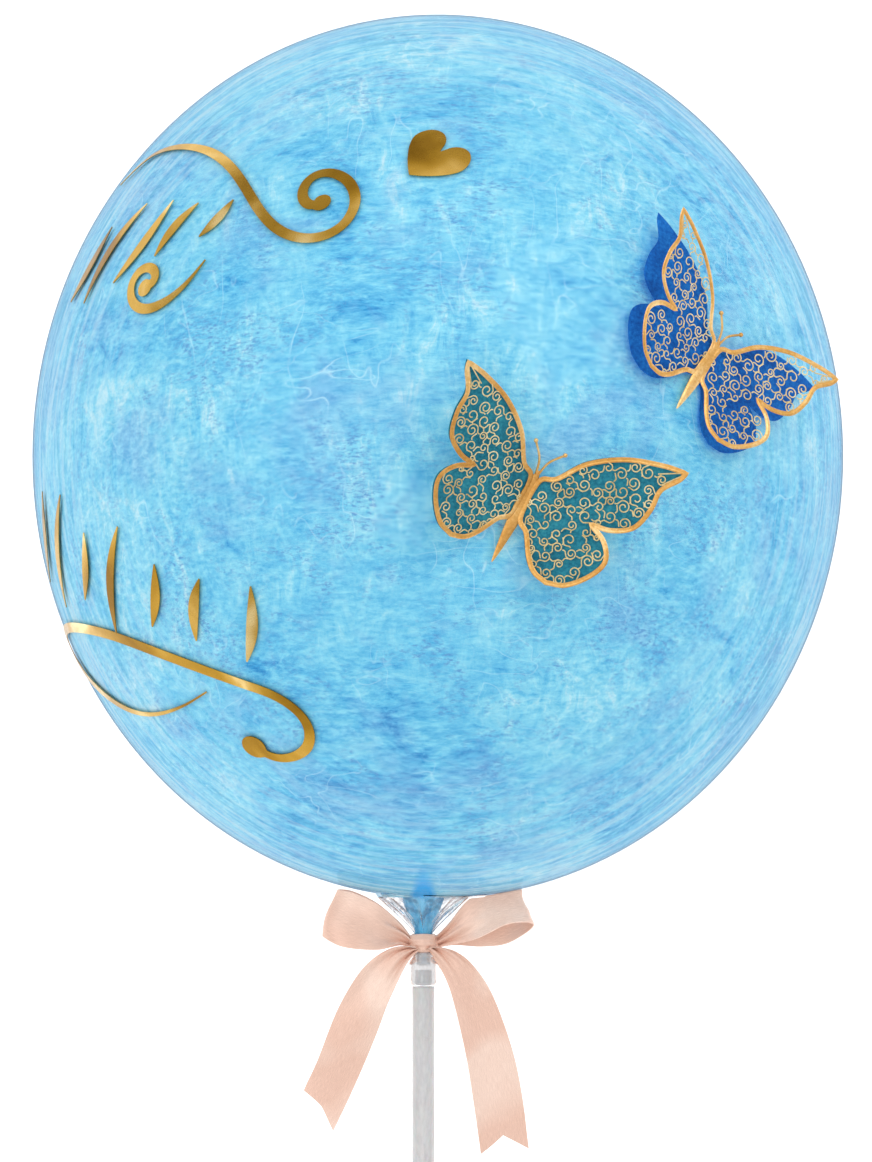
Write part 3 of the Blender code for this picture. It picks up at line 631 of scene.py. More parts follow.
def clouded_blue():
    """Cloudy sky blue with brushed fibres, deeper blue flecks in clusters, pale threads, and painted rim
    highlights and painted rim shade along the limb.
    """
    made, tree, shader, place = new_material("clouded blue")
    drift = noise(tree, place, 9.0, 4.0, 0.62, 0.9)
    either = ramp(tree, drift, (0.42, 0.0), (0.58, 1.0))
    fibres = mix(
        tree, either, brushed(tree, place, (34.0, 90.0, 60.0), 7.0, 0.8, 0.7, (0.5, 0.3, 0.9)),
        brushed(tree, place, (90.0, 34.0, 60.0), 7.0, 0.8, 0.7, (-0.7, 0.9, -0.4)),
    )
    blue = ramp(
        tree, mix(tree, 0.38, fibres, drift),
        (0.37, (0.05, 0.34, 0.67)), (0.43, (0.132, 0.52, 0.8)), (0.5, (0.222, 0.645, 0.855)),
        (0.56, (0.325, 0.735, 0.88)), (0.64, (0.62, 0.85, 0.9)),
    )
    haze = ramp(tree, noise(tree, place, 15.0, 4.0, 0.7, 0.5), (0.52, 0.0), (0.66, 0.6))
    hair = mix(
        tree, either, brushed(tree, place, (110.0, 420.0, 260.0), 3.0, 0.7, turn=(0.3, 1.1, 0.9)),
        brushed(tree, place, (120.0, 440.0, 300.0), 3.0, 0.7, turn=(0.2, -0.4, -0.7)),
    )
    hazed = mix(tree, haze, blue, (0.24, 0.5, 0.775))
    combed = mix(tree, 0.55, hazed, ramp(tree, hair, (0.36, 0.1), (0.64, 0.9)), blend="SOFT_LIGHT")
    fleck_field = stretched(tree, place, (330.0, 900.0, 520.0), (0.9, 0.2, 0.5))
    flecks = ramp(tree, noise(tree, fleck_field, 0.8, 4.0, 0.75), (0.49, 0.0), (0.6, 0.8))
    clusters = ramp(tree, noise(tree, place, 24.0, 5.0, 0.72, 0.8), (0.49, 0.0), (0.62, 1.0))
    flecked = laid_over(tree, flecks, clusters, combed, (0.13, 0.32, 0.64))
    threads = math_node(
        tree, "MAXIMUM", ridges(tree, place, (16.0, 46.0, 30.0), (0.2, 0.6, 0.4)),
        ridges(tree, place, (40.0, 15.0, 30.0), (1.1, -0.5, 1.3)),
    )
    thread_places = ramp(tree, noise(tree, place, 19.0, 3.0, 0.65), (0.47, 0.0), (0.62, 0.6))
    threaded = laid_over(tree, threads, thread_places, flecked, (0.64, 0.9, 0.98))
    strokes, limb = painted_rim_streaks(tree, place)
    # Painted rim highlights and painted rim shade: pale and deep strokes laid only along the limb as seen
    # along the view axis.
    pale = laid_over(tree, ramp(tree, strokes, (0.46, 0.0), (0.62, 0.8)), limb, threaded, (0.64, 0.81, 0.87))
    deep = laid_over(tree, ramp(tree, strokes, (0.36, 0.85), (0.46, 0.0)), limb, pale, (0.09, 0.42, 0.64))
    mouth = LYING @ Vector((STICK_OFFSET, -BUBBLE_HALF_HEIGHT, 0.0))
    around_mouth = {"Vector": place, "Location": tuple(mouth), "Scale": SLEEVE_PATCH}
    near_mouth = node(tree, "ShaderNodeMapping", around_mouth, vector_type="TEXTURE").outputs["Vector"]
    sleeve = node(tree, "ShaderNodeTexGradient", {"Vector": near_mouth}, gradient_type="SPHERICAL")
    coloured = mix(tree, ramp(tree, sleeve.outputs["Fac"], (0.0, 0.0), (0.35, 0.85)), deep, (0.03, 0.42, 0.9))
    dress(tree, shader, Base_Color=coloured, Roughness=0.6, Specular_IOR_Level=0.1)
    return made


def vivid_blue():
    made, tree, shader, place = new_material("vivid blue rubber")
    streaks = brushed(tree, place, (220.0, 60.0, 220.0), 5.0, 0.6, 0.4)
    shade = ramp(tree, streaks, (0.36, (0.01, 0.29, 0.6)), (0.62, (0.11, 0.48, 0.76)))
    dress(tree, shader, Base_Color=shade, Roughness=0.22, Coat_Weight=0.5, Coat_Roughness=0.05)
    bump(tree, shader, noise(tree, place, 260.0, 3.0, 0.5), 0.1, 0.0005)
    return made


def clear_plastic():
    made, tree, shader, place = new_material("clear plastic")
    dress(
        tree, shader, Base_Color=(0.78, 0.78, 0.79, 1.0), Roughness=0.06, IOR=1.38,
        Transmission_Weight=0.6, Coat_Weight=0.5, Coat_Roughness=0.05,
    )
    bump(tree, shader, brushed(tree, place, (300.0, 90.0, 300.0), 4.0, 0.6, 0.5), 0.25, 0.0004)
    return made


def frosted_tube():
    made, tree, shader, place = new_material("frosted tube")
    streaks = brushed(tree, place, (700.0, 12.0, 700.0), 4.0, 0.6)
    shade = ramp(tree, streaks, (0.35, (0.5, 0.5, 0.505)), (0.65, (0.58, 0.58, 0.582)))
    rough = ramp(tree, grain(tree, place, 1400.0, 90.0, 0.5), (0.35, 0.26), (0.65, 0.4))
    dress(
        tree, shader, Base_Color=shade, Roughness=rough, Subsurface_Weight=0.3, Subsurface_Scale=0.004,
        Coat_Weight=0.25, Coat_Roughness=0.12,
    )
    bump(tree, shader, streaks, 0.08, 0.0003)
    return made


def peach_satin():
    """Satin woven along the ribbon, with its threads on the ribbon's own UV map, and soft blotches of painted
    highlight and painted shade over its colour.
    """
    made, tree, shader, place = new_material("peach satin")
    along = node(tree, "ShaderNodeUVMap", uv_map="UVMap").outputs["UV"]
    threads = brushed(tree, along, (260.0, 30.0, 1.0), 3.0, 0.6)
    rows = node(
        tree, "ShaderNodeTexWave", {"Vector": along, "Scale": 120.0, "Distortion": 1.5, "Detail": 2.0},
        wave_type="BANDS", bands_direction="Y",
    ).outputs["Fac"]
    shade = ramp(
        tree, threads,
        (0.3, (0.775, 0.515, 0.415)), (0.5, (0.82, 0.572, 0.467)), (0.7, (0.87, 0.635, 0.535)),
    )
    # Painted highlights and painted shade: soft blotches laid over the satin's colour stand in for the light
    # on its folds.
    painted_highlights_and_shade = ramp(tree, noise(tree, place, 34.0, 0.0, 0.5, 0.3), (0.36, 0.34), (0.5, 0.54), (0.64, 0.78))
    dress(
        tree, shader, Base_Color=mix(tree, 0.55, shade, painted_highlights_and_shade, blend="SOFT_LIGHT"),
        Roughness=ramp(tree, threads, (0.3, 0.22), (0.7, 0.32)), Metallic=0.1, Sheen_Weight=0.1,
        Sheen_Roughness=0.35, Sheen_Tint=(1.0, 0.86, 0.78, 1.0), Specular_IOR_Level=0.3,
        Specular_Tint=(1.0, 0.9, 0.82, 1.0),
    )
    bump(tree, shader, mix(tree, 0.5, threads, rows), 0.1, 0.0002)
    return made


def gold_foil():
    """Gold whose tone drifts at random from brown gold to pale gold along a scroll, with painted shade in its
    brown stops and painted highlights in its pale ones.
    """
    made, tree, shader, place = new_material("gold foil")
    # Painted highlights and painted shade: the darkest and palest stops stand in for the foil's reflections.
    shade = ramp(
        tree, noise(tree, place, 17.0, 3.0, 0.5, 0.8),
        (0.33, (0.23, 0.115, 0.01)), (0.42, (0.34, 0.182, 0.018)), (0.5, (0.44, 0.25, 0.035)),
        (0.58, (0.58, 0.36, 0.085)), (0.68, (0.92, 0.73, 0.36)),
    )
    rough = ramp(tree, grain(tree, place, 1200.0, 120.0, 0.6), (0.4, 0.2), (0.6, 0.34))
    dress(tree, shader, Base_Color=shade, Roughness=rough, Metallic=1.0)
    bump(tree, shader, noise(tree, place, 130.0, 5.0, 0.6, 0.4), 0.1, 0.0006)
    return made


def gold_paper():
    made, tree, shader, place = new_material("gold paper")
    shade = ramp(
        tree, grain(tree, place, 800.0, 40.0, 0.7),
        (0.38, (0.53, 0.245, 0.045)), (0.52, (0.71, 0.385, 0.105)), (0.64, (0.87, 0.6, 0.27)),
    )
    rough = ramp(tree, grain(tree, place, 1500.0, 200.0, 0.4), (0.4, 0.3), (0.6, 0.42))
    dress(tree, shader, Base_Color=shade, Roughness=rough, Metallic=0.75, Coat_Weight=0.2)
    bump(tree, shader, noise(tree, place, 1100.0, 2.0, 0.5), 0.12, 0.0002)
    return made


def pale_gold():
    """Gold of the fine scrollwork, paler than the rims."""
    made, tree, shader, place = new_material("pale gold")
    shade = ramp(
        tree, grain(tree, place, 700.0, 50.0, 0.6),
        (0.38, (0.49, 0.345, 0.13)), (0.52, (0.68, 0.54, 0.265)), (0.64, (0.81, 0.7, 0.42)),
    )
    dress(tree, shader, Base_Color=shade, Metallic=0.4, Roughness=0.34)
    bump(tree, shader, noise(tree, place, 1100.0, 2.0, 0.5), 0.1, 0.0002)
    return made


def coloured_paper(name, dark, middle, pale):
    made, tree, shader, place = new_material(name)
    shade = ramp(tree, grain(tree, place, 620.0, 70.0, 0.45), (0.36, dark), (0.5, middle), (0.66, pale))
    dress(tree, shader, Base_Color=shade, Roughness=0.85, Specular_IOR_Level=0.2)
    bump(tree, shader, grain(tree, place, 900.0, 200.0, 0.4), 0.35, 0.0003)
    return made


def pale_floor():
    made, tree, shader, place = new_material("pale floor")
    shade = ramp(tree, noise(tree, place, 3.0, 4.0, 0.5), (0.3, 0.93), (0.7, 0.96))
    dress(
        tree, shader, Base_Color=shade, Roughness=0.9, Specular_IOR_Level=0.1,
        Emission_Color=(1.0, 1.0, 1.0, 1.0), Emission_Strength=0.4,
    )
    return made


# Bubble, and the blue balloon sealed in it


def round_body(name, radius, half_height):
    """A sphere with its poles on the balloon's axis, stretched to the bubble's height."""
    begin()
    bpy.ops.mesh.primitive_uv_sphere_add(
        segments=BUBBLE_SEGMENTS, ring_count=BUBBLE_RINGS, radius=radius, rotation=(math.pi / 2, 0, 0)
    )
    made = named(name)
    bpy.ops.object.transform_apply(location=True, rotation=True, scale=True)
    edit(made)
    bpy.ops.transform.resize(value=(1, half_height / radius, 1), center_override=(0, 0, 0))
    leave()
    return made


def lean_to_stick(made, mouth_radius, mouth_y, radius, half_height):
    """Moves the lower half sideways, little by little, so that its mouth is centred on the stick's axis."""
    for vertex in made.data.vertices:
        far = math.hypot(vertex.co.x, vertex.co.z)
        if vertex.co.y < 0.0 and vertex.co.y > mouth_y - 1e-6:
            near = min(1.0, max(0.0, 1 - (far - mouth_radius) / (radius - mouth_radius)))
            vertex.co.x += STICK_OFFSET * (3 - 2 * near) * near**2
            out = math.hypot(vertex.co.x, vertex.co.z) / radius
            vertex.co.y = -half_height * math.sqrt(max(0.0, 1 - out**2))


def flatten_under(made, height):
    """Cuts a laid-down piece off level, just above the floor."""
    edit(made)
    bpy.ops.mesh.bisect(plane_co=(0, 0, height), plane_no=(0, 0, -1), clear_outer=True, use_fill=True)
    leave()


def build_film(material, neck_material):
    film = round_body("bubble_film", BUBBLE_RADIUS, BUBBLE_HALF_HEIGHT)
    mouth_y = -BUBBLE_HALF_HEIGHT * math.sqrt(1 - (NECK_MOUTH_RADIUS / BUBBLE_RADIUS) ** 2)
    edit(film)
    bpy.ops.mesh.bisect(plane_co=(0, mouth_y, 0), plane_no=(0, -1, 0), clear_outer=True)
    leave()
    lean_to_stick(film, NECK_MOUTH_RADIUS, mouth_y, BUBBLE_RADIUS, BUBBLE_HALF_HEIGHT)
    edit(film, "EDGE", "DESELECT")
    bpy.ops.mesh.select_non_manifold()
    pinch = KNOT_TOP + CLEARANCE
    y, radius = mouth_y, NECK_MOUTH_RADIUS
    rows = []
    for row in range(1, NECK_ROWS + 1):
        share = row / NECK_ROWS
        wide = NECK_RADIUS + (NECK_MOUTH_RADIUS - NECK_RADIUS) * (1 - share) ** NECK_FLARE
        rows.append((wide, mouth_y + (pinch - mouth_y) * share))
    rows += [(NECK_RADIUS, NECK_END), (NECK_RADIUS * 0.1, NECK_END)]
    for wide, lower in rows:
        bpy.ops.mesh.extrude_edges_move(TRANSFORM_OT_translate={"value": (0, lower - y, 0)})
        share = wide / radius
        level = 0 if radius == NECK_MOUTH_RADIUS else 1
        bpy.ops.transform.resize(value=(share, level, share), center_override=(STICK_OFFSET, lower, 0))
        y, radius = lower, wide
    bpy.ops.mesh.merge(type="CENTER")
    leave()
    for vertex in film.data.vertices:
        share = (mouth_y - vertex.co.y) / (mouth_y - pinch)
        if 1e-4 < share < 1.0:
            x, z = vertex.co.x - STICK_OFFSET, vertex.co.z
            wide, around = math.hypot(x, z), math.atan2(x, z)
            folds = math.cos(PLEATS * around + 0.8 * math.sin(2 * around))
            folds += 0.45 * math.cos(2.0 * PLEATS * around + 1.0)
            grown = 1 + PLEAT_DEPTH * math.sin(math.pi * share) ** 0.8 * folds / wide
            vertex.co.x, vertex.co.z = STICK_OFFSET + x * grown, z * grown
    lay_down(film)
    flatten_under(film, 0.0)
    thicken(sewn(film), FILM_THICKNESS, offset=-1.0)
    film.visible_shadow = False
    film.visible_diffuse = False
    finish_piece(film, 60, material, "film", "bubble")
    film.data.materials.append(neck_material)
    flat = LYING.inverted()
    for face in film.data.polygons:
        face.material_index = int((flat @ face.center).y < mouth_y)


def build_inner_balloon(material):
    radius = BUBBLE_RADIUS - INNER_GAP
    half_height = BUBBLE_HALF_HEIGHT - INNER_GAP
    inner = round_body("inner_balloon", radius, half_height)
    mouth_radius = NECK_MOUTH_RADIUS * 0.5
    mouth_y = -half_height * math.sqrt(1 - (mouth_radius / radius) ** 2)
    edit(inner)
    bpy.ops.mesh.bisect(plane_co=(0, mouth_y, 0), plane_no=(0, -1, 0), clear_outer=True)
    leave()
    lean_to_stick(inner, mouth_radius, mouth_y, radius, half_height)
    lay_down(inner)
    flatten_under(inner, INNER_GAP)
    inner.visible_diffuse = False
    finish_piece(inner, 60, material, "film")


def build_inner_neck(material):
    """The blue balloon's own neck: a funnel in the clear one, with a short sleeve up into the bubble."""
    neck = turned("inner_neck", INNER_NECK_PROFILE, STICK_SIDES)
    for vertex in neck.data.vertices:
        around = math.atan2(vertex.co.x, vertex.co.z)
        share = min(1.0, max(0.0, (FUNNEL_TOP - vertex.co.y) / FUNNEL_HEIGHT))
        grown = 1 + FUNNEL_WAVE * math.sin(math.pi * share) * math.cos(5 * around + 0.7)
        vertex.co.x, vertex.co.z = STICK_OFFSET + vertex.co.x * grown, vertex.co.z * grown
    modify(neck, "SUBSURF", levels=1, render_levels=1)
    finish_piece(lay_down(neck), 60, material, "film")


# Cup and stick


def on_stick(made):
    """Moves a turned piece sideways onto the stick's axis."""
    for vertex in made.data.vertices:
        vertex.co.x += STICK_OFFSET
    return made


def build_cup(material):
    socket = NECK_RADIUS + CLEARANCE
    grip = STICK_RADIUS + CLEARANCE
    shoulder = CUP_TOP - CUP_SHOULDER_DROP
    floor_top, floor_under = CUP_TOP - CUP_SOCKET_DEPTH, STICK_TOP + CLEARANCE
    corner = 2 * EDGE
    rounding = CUP_ROUNDING
    profile = [
        (CORE_RADIUS, floor_top), (socket - corner, floor_top), (socket, floor_top + corner),
        (socket, CUP_TOP), (CUP_TOP_RADIUS - EDGE, CUP_TOP), (CUP_TOP_RADIUS, CUP_TOP - EDGE),
        (CUP_TOP_RADIUS, shoulder + rounding), (CUP_TOP_RADIUS + 0.0004, shoulder + rounding * 0.5),
        (CUP_RADIUS - rounding * 0.5, shoulder),
        (CUP_RADIUS - rounding * 0.12, shoulder - rounding * 0.5), (CUP_RADIUS, shoulder - rounding),
        (CUP_RADIUS, CUP_BOTTOM + rounding), (CUP_RADIUS - rounding * 0.12, CUP_BOTTOM + rounding * 0.5),
        (CUP_RADIUS - rounding * 0.45, CUP_BOTTOM + rounding * 0.14), (CUP_RADIUS - rounding, CUP_BOTTOM),
        (grip + EDGE, CUP_BOTTOM), (grip, CUP_BOTTOM + EDGE), (grip, floor_under - corner),
        (grip - corner, floor_under), (CORE_RADIUS, floor_under),
    ]
    cup = on_stick(turned("cup_shell", profile, CUP_SIDES))
    finish_piece(lay_down(cup), 50, material, "cup_plastic", "cup")


def build_stick(material):
    """A thin-walled tube whose ends are closed by plugs that sit a little way in."""
    inside = STICK_RADIUS - STICK_WALL
    plug_top, plug_under = STICK_TOP - PLUG_DEPTH, STICK_END + PLUG_DEPTH * 0.2
    length = STICK_TOP - STICK_END
    profile = [
        (CORE_RADIUS, plug_top), (inside, plug_top), (inside, STICK_TOP - EDGE), (inside + EDGE, STICK_TOP),
        (STICK_RADIUS - EDGE, STICK_TOP), (STICK_RADIUS, STICK_TOP - EDGE),
        *[(STICK_RADIUS, STICK_TOP - length * step / STICK_RINGS) for step in range(1, STICK_RINGS)],
        (STICK_RADIUS, STICK_END + EDGE), (STICK_RADIUS - EDGE, STICK_END), (inside + EDGE, STICK_END),
        (inside, STICK_END + EDGE), (inside, plug_under), (CORE_RADIUS, plug_under),
    ]
    stick = on_stick(turned("stick_tube", profile, STICK_SIDES))
    finish_piece(lay_down(stick), 40, material, "tube_plastic", "stick")


# Ribbon bow


def wave_at(turns):
    return math.sin(2 * math.pi * turns)


def ribbon(name, stations, scale, inside, notch=0.0, phase=0.0):
    """One run of ribbon, which starts, and for a loop also ends, in the knot at the places in inside."""
    laid = [(Vector(middle) * scale, Vector(across) * RIBBON_WIDTH) for middle, across in stations]
    middles, acrosses = (spline(run, RIBBON_STEPS) for run in zip(inside[0], *laid, *inside[1:]))
    grid = []
    for number, (middle, across) in enumerate(zip(middles, acrosses)):
        before, after = middles[max(number - 1, 0)], middles[min(number + 1, len(middles) - 1)]
        out = across.cross(after - before).normalized()
        slack = max(0.0, 1 - across.length / (RIBBON_WIDTH * 0.97))
        row = []
        for column in range(RIBBON_COLUMNS + 1):
            share = column / RIBBON_COLUMNS - 0.5
            wave = wave_at(2.0 * share + phase) + 0.45 * wave_at(3.7 * share - phase)
            fold = GATHER_DEPTH * slack**1.2 * wave
            run = number / (len(middles) - 1)
            fold += RIBBON_RIPPLE * (1 - slack) * wave_at(1.6 * run + 0.7 * share + phase)
            point = Vector((STICK_OFFSET, KNOT_CENTRE, 0.0)) + middle + across * share + out * fold
            row.append(clear_of_bubble(point, CLEARANCE + RIBBON_THICKNESS))
        grid.append(row)
    if notch:
        along = (grid[-1][0] - grid[-2][0]).normalized()
        reach = 2 * RIBBON_STEPS
        for back in range(reach):
            fade = (1 - back / reach) ** 1.5
            for column, point in enumerate(grid[-1 - back]):
                deep = 1 - abs(2 * column / RIBBON_COLUMNS - 1)
                grid[-1 - back][column] = point - along * (notch * deep * fade)
    return laid_grid(name, grid)


def build_knot():
    """The band that holds the bow: once round the neck, with edges turned in and slanting creases."""
    bore = NECK_RADIUS + CLEARANCE
    rows = []
    columns = 16
    sides = 96
    for side in range(sides + 1):
        angle = 2 * math.pi * side / sides
        row = []
        for column in range(columns + 1):
            share = 2 * column / columns - 1
            tuck = KNOT_WALL * (1 - 0.75 * abs(share) ** 3.5)
            crease = 0.00028 * math.sin(5 * share + 2.2 * math.sin(angle + 0.6)) * (1 - share**2)
            crease += 0.00022 * math.sin(11 * share - 3 * math.cos(angle)) * (1 - share**4)
            radius = bore + tuck + crease
            y = KNOT_CENTRE + share * KNOT_HEIGHT / 2 * (0.97 + 0.03 * math.cos(3 * angle))
            row.append(Vector((STICK_OFFSET + radius * math.sin(angle), y, radius * math.cos(angle))))
        rows.append(row)
    return sewn(laid_grid("ribbon knot", rows))


def build_bow(material):
    wall = NECK_RADIUS + CLEARANCE + KNOT_WALL / 2
    side, front = wall * math.cos(math.radians(12)), wall * math.sin(math.radians(12))
    pinched = Vector((0.0, -KNOT_HEIGHT * 0.55, 0.0))
    runs = []
    for name, hand, stations in (("left loop", -1, LEFT_LOOP), ("right loop", 1, RIGHT_LOOP)):
        inside = [(Vector((hand * side, 0.0, front)), pinched), (Vector((hand * side, 0.0, -front)), pinched)]
        runs.append(ribbon(name, stations, LOOP_REACH, inside, phase=0.15 * hand))
    for name, hand, stations, notch in (
        ("left tail", -1, LEFT_TAIL, NOTCH_DEPTH * 0.25), ("right tail", 1, RIGHT_TAIL, NOTCH_DEPTH),
    ):
        start = Vector((hand * wall * 0.5, -KNOT_HEIGHT * 0.2, wall * 0.92))
        inside = [(start, Vector((0.003, hand * 0.0012, hand * 0.0018)))]
        runs.append(ribbon(name, stations, TAIL_DROP, inside, notch=notch, phase=0.3 * hand))
    bow = thicken(joined("ribbon_bow", [build_knot(), *runs]), RIBBON_THICKNESS)
    finish_piece(lay_down(bow), 60, material, "satin", "bow")


# Gold foil


def foil(name, place, rows, material, node_name):
    """Foil laid on the bubble, from rows of (east, north) points of its flat sheet."""
    height = CLEARANCE + FOIL_THICKNESS / 2
    made = laid_grid(name, [[on_foil(place, east, north, height) for east, north in row] for row in rows])
    finish_piece(lay_down(thicken(made, FOIL_THICKNESS)), 40, material, "gold_foil", node_name)


def brush(path, widths, columns=4):
    """Rows of points, square to a path, as a pen of changing width would draw it."""
    rows = []
    for number, (point, width) in enumerate(zip(path, widths)):
        before, after = path[max(number - 1, 0)], path[min(number + 1, len(path) - 1)]
        along = (after - before).normalized()
        across = Vector((along.y, -along.x)) * width
        rows.append([point + across * (column / columns - 0.5) for column in range(columns + 1)])
    return rows


def scroll(name, place, points, ball, material):
    """A pen line that starts thin and ends in a round ball."""
    path = spline([Vector(point) * SCROLL_SIZE for point in points], 12)
    for _ in range(SCROLL_SMOOTHING):
        path = [path[0], *[(a + b * 2 + c) / 4 for a, b, c in zip(path, path[1:], path[2:])], path[-1]]
    end = (path[-1] - path[-3]).normalized()
    before = len(path)
    path += [path[-1] + end * ball * math.sin(math.pi / 2 * step / 12) for step in range(1, 13)]
    lengths = [0.0]
    for a, b in zip(path, path[1:]):
        lengths.append(lengths[-1] + (b - a).length)
    widths = []
    for number, length in enumerate(lengths):
        pen = TIP_WIDTH + (SCROLL_WIDTH - TIP_WIDTH) * min(1.0, 3 * length / lengths[-1])
        round_end = 2 * math.sqrt(max(0.0, ball**2 - (length - lengths[before - 1]) ** 2))
        widths.append(max(TIP_WIDTH * 0.3, round_end, pen if number < before else 0.0))
    foil(name + "_foil", place, brush(path, widths), material, name)


def build_strokes(material):
    """Two rows of slanting strokes, swelled in the middle, each bent the other way from the one before."""
    rows = (
        ("upper", UPPER_ROW_PLACE, UPPER_STROKE_LENGTHS, UPPER_STROKE_PITCH, UPPER_ROW_START, 0.25, 28),
        ("lower", LOWER_ROW_PLACE, LOWER_STROKE_LENGTHS, LOWER_STROKE_PITCH, LOWER_ROW_START, -0.27, 20),
    )
    steps = 28
    for row, place, lengths, pitch, start, slope, slant in rows:
        lean = Vector((math.sin(math.radians(slant)), math.cos(math.radians(slant))))
        side = Vector((lean.y, -lean.x))
        for number, length in enumerate(lengths):
            middle = Vector(start) + Vector((pitch, pitch * slope)) * number
            bend = STROKE_BEND * length * (-1) ** number
            path, widths = [], []
            for step in range(steps + 1):
                share = step / steps
                swell = math.sin(math.pi * share)
                path.append(middle + lean * length * (share - 0.5) + side * bend * swell)
                widths.append(TIP_WIDTH + (STROKE_WIDTH - TIP_WIDTH) * swell)
            name = f"{row}_stroke_{number + 1}"
            foil(name + "_foil", place, brush(path, widths), material, name)


def build_heart(material):
    turn = math.radians(-HEART_TILT)
    steps, columns = 64, 12
    rows = []
    for step in range(steps + 1):
        across = 0.998 * math.cos(math.pi * (1 - step / steps))
        far = abs(across)
        lobe = math.sqrt(max(0.0, 1 - ((far - 0.52) / 0.48) ** 2))
        top = 0.18 + 0.32 * lobe
        bottom = -0.5 + 0.68 * (0.55 * far + 0.45 * (1 - math.sqrt(1 - far**2)))
        row = []
        for column in range(columns + 1):
            x = across * HEART_WIDTH / 2
            y = (bottom + (top - bottom) * column / columns) * HEART_HEIGHT
            row.append((x * math.cos(turn) - y * math.sin(turn), x * math.sin(turn) + y * math.cos(turn)))
        rows.append(row)
    foil("heart_foil", HEART_PLACE, rows, material, "heart")


# Paper butterflies


def wing_rows(steps, columns):
    """Rows of (out, forward) shares across one wing, from the hind wing's foot to the tip."""
    outer = spline(WING_OUTER, steps)[:-1] + spline(WING_TRAILING, steps)
    inner = spline(WING_INNER, 24)
    rows = []
    for edge in outer:
        near = edge.x
        for a, b in zip(inner, inner[1:]):
            if a.y <= edge.y <= b.y:
                near = a.x + (b.x - a.x) * (edge.y - a.y) / max(b.y - a.y, 1e-9)
                break
        near = min(near, edge.x - 0.004)
        rows.append([(near + (edge.x - near) * column / columns, edge.y) for column in range(columns + 1)])
    return rows


def wing_outline(half_span):
    """The wing's edge as one closed line, in metres."""
    edges = (WING_INNER, WING_TRAILING[::-1], WING_OUTER[::-1])
    return [point * half_span for edge in edges for point in spline(edge, 8)[:-1]]


def is_inside(point, outline):
    inside = False
    for a, b in zip(outline, outline[1:] + outline[:1]):
        if (a.y > point.y) != (b.y > point.y) and point.x < (b.x - a.x) * (point.y - a.y) / (b.y - a.y) + a.x:
            inside = not inside
    return inside


def nearest_edge(point, outline):
    """The outline's point that is nearest, and how far it is."""
    best, far = None, 1e9
    for a, b in zip(outline, outline[1:] + outline[:1]):
        along = b - a
        share = min(1.0, max(0.0, (point - a).dot(along) / max(along.length_squared, 1e-12)))
        there = a + along * share
        if (there - point).length < far:
            best, far = there, (there - point).length
    return best, far


def curl(centre, radius, start, hand, turns):
    """A spiral line that runs inwards from a circle."""
    steps = round(15 * turns)
    points = []
    for step in range(steps + 1):
        share = step / steps
        angle = start + hand * 2 * math.pi * turns * share
        reach = radius * (1 - 0.74 * share**0.9)
        points.append(centre + Vector((math.cos(angle), math.sin(angle))) * reach)
    return points


def filigree(half_span, chance):
    """Lines of pierced scrollwork for one wing: curls, each joined to an earlier one or to the rim."""
    outline = wing_outline(half_span)
    seeds = []
    step = CURL_SPACING * 0.87
    rows = round(1.4 * half_span / step)
    for row in range(rows):
        for column in range(round(half_span / CURL_SPACING) + 2):
            spot = Vector((
                (column + 0.5 * (row % 2)) * CURL_SPACING + chance.uniform(-1, 1) * CURL_JITTER,
                row * step - 0.36 * half_span + chance.uniform(-1, 1) * CURL_JITTER,
            ))
            if is_inside(spot, outline) and nearest_edge(spot, outline)[1] > RIM_WIDTH * 0.9:
                seeds.append(spot)
    lines = []
    placed = []
    for spot in seeds:
        edge, far = nearest_edge(spot, outline)
        radius = min(CURL_RADIUS * chance.uniform(0.72, 1.18), far - RIM_WIDTH * 0.35)
        hand = chance.choice((-1, 1))
        near = sorted(placed, key=lambda other: (other[0] - spot).length)[:2]
        joins = []
        if far < CURL_SPACING * 0.85:
            joins.append(edge)
        for other, reach in near:
            if (other - spot).length < CURL_SPACING * 1.6:
                joins.append(other + (spot - other).normalized() * reach)
        if not joins:
            joins.append(edge)
        for number, join in enumerate(joins[:2]):
            towards = (join - spot)
            facing = math.atan2(towards.y, towards.x)
            start = facing + hand * math.radians(55)
            on_circle = spot + Vector((math.cos(start), math.sin(start))) * radius
            bend = Vector((-towards.y, towards.x)) * -hand * 0.22
            if number == 0:
                spiral = curl(spot, radius, start, hand, chance.uniform(1.0, 1.5))
                lines.append(spline([join, (join + on_circle) / 2 + bend, spiral[0], *spiral[2::2]], 2))
            else:
                lines.append(spline([join, (join + on_circle) / 2 + bend, on_circle], 4))
        placed.append((spot, radius))
    tip = Vector(WING_TRAILING[-1]) * half_span
    for foot in ((0.86, 0.7), (0.8, 0.76)):
        foot = Vector(foot) * half_span
        lines.append(spline([tip, (tip + foot) / 2, foot], 6))
    return outline, lines


def drawn_in(point, half_span):
    """A point of the wing's edge, moved in by half the rim towards the middle of its fore or hind wing."""
    fore, hind = Vector((0.5, 0.45)) * half_span, Vector((0.42, -0.02)) * half_span
    share = min(1.0, max(0.0, (point.y / half_span - 0.02) / 0.34))
    return point + (hind + (fore - hind) * share - point).normalized() * RIM_WIDTH / 2


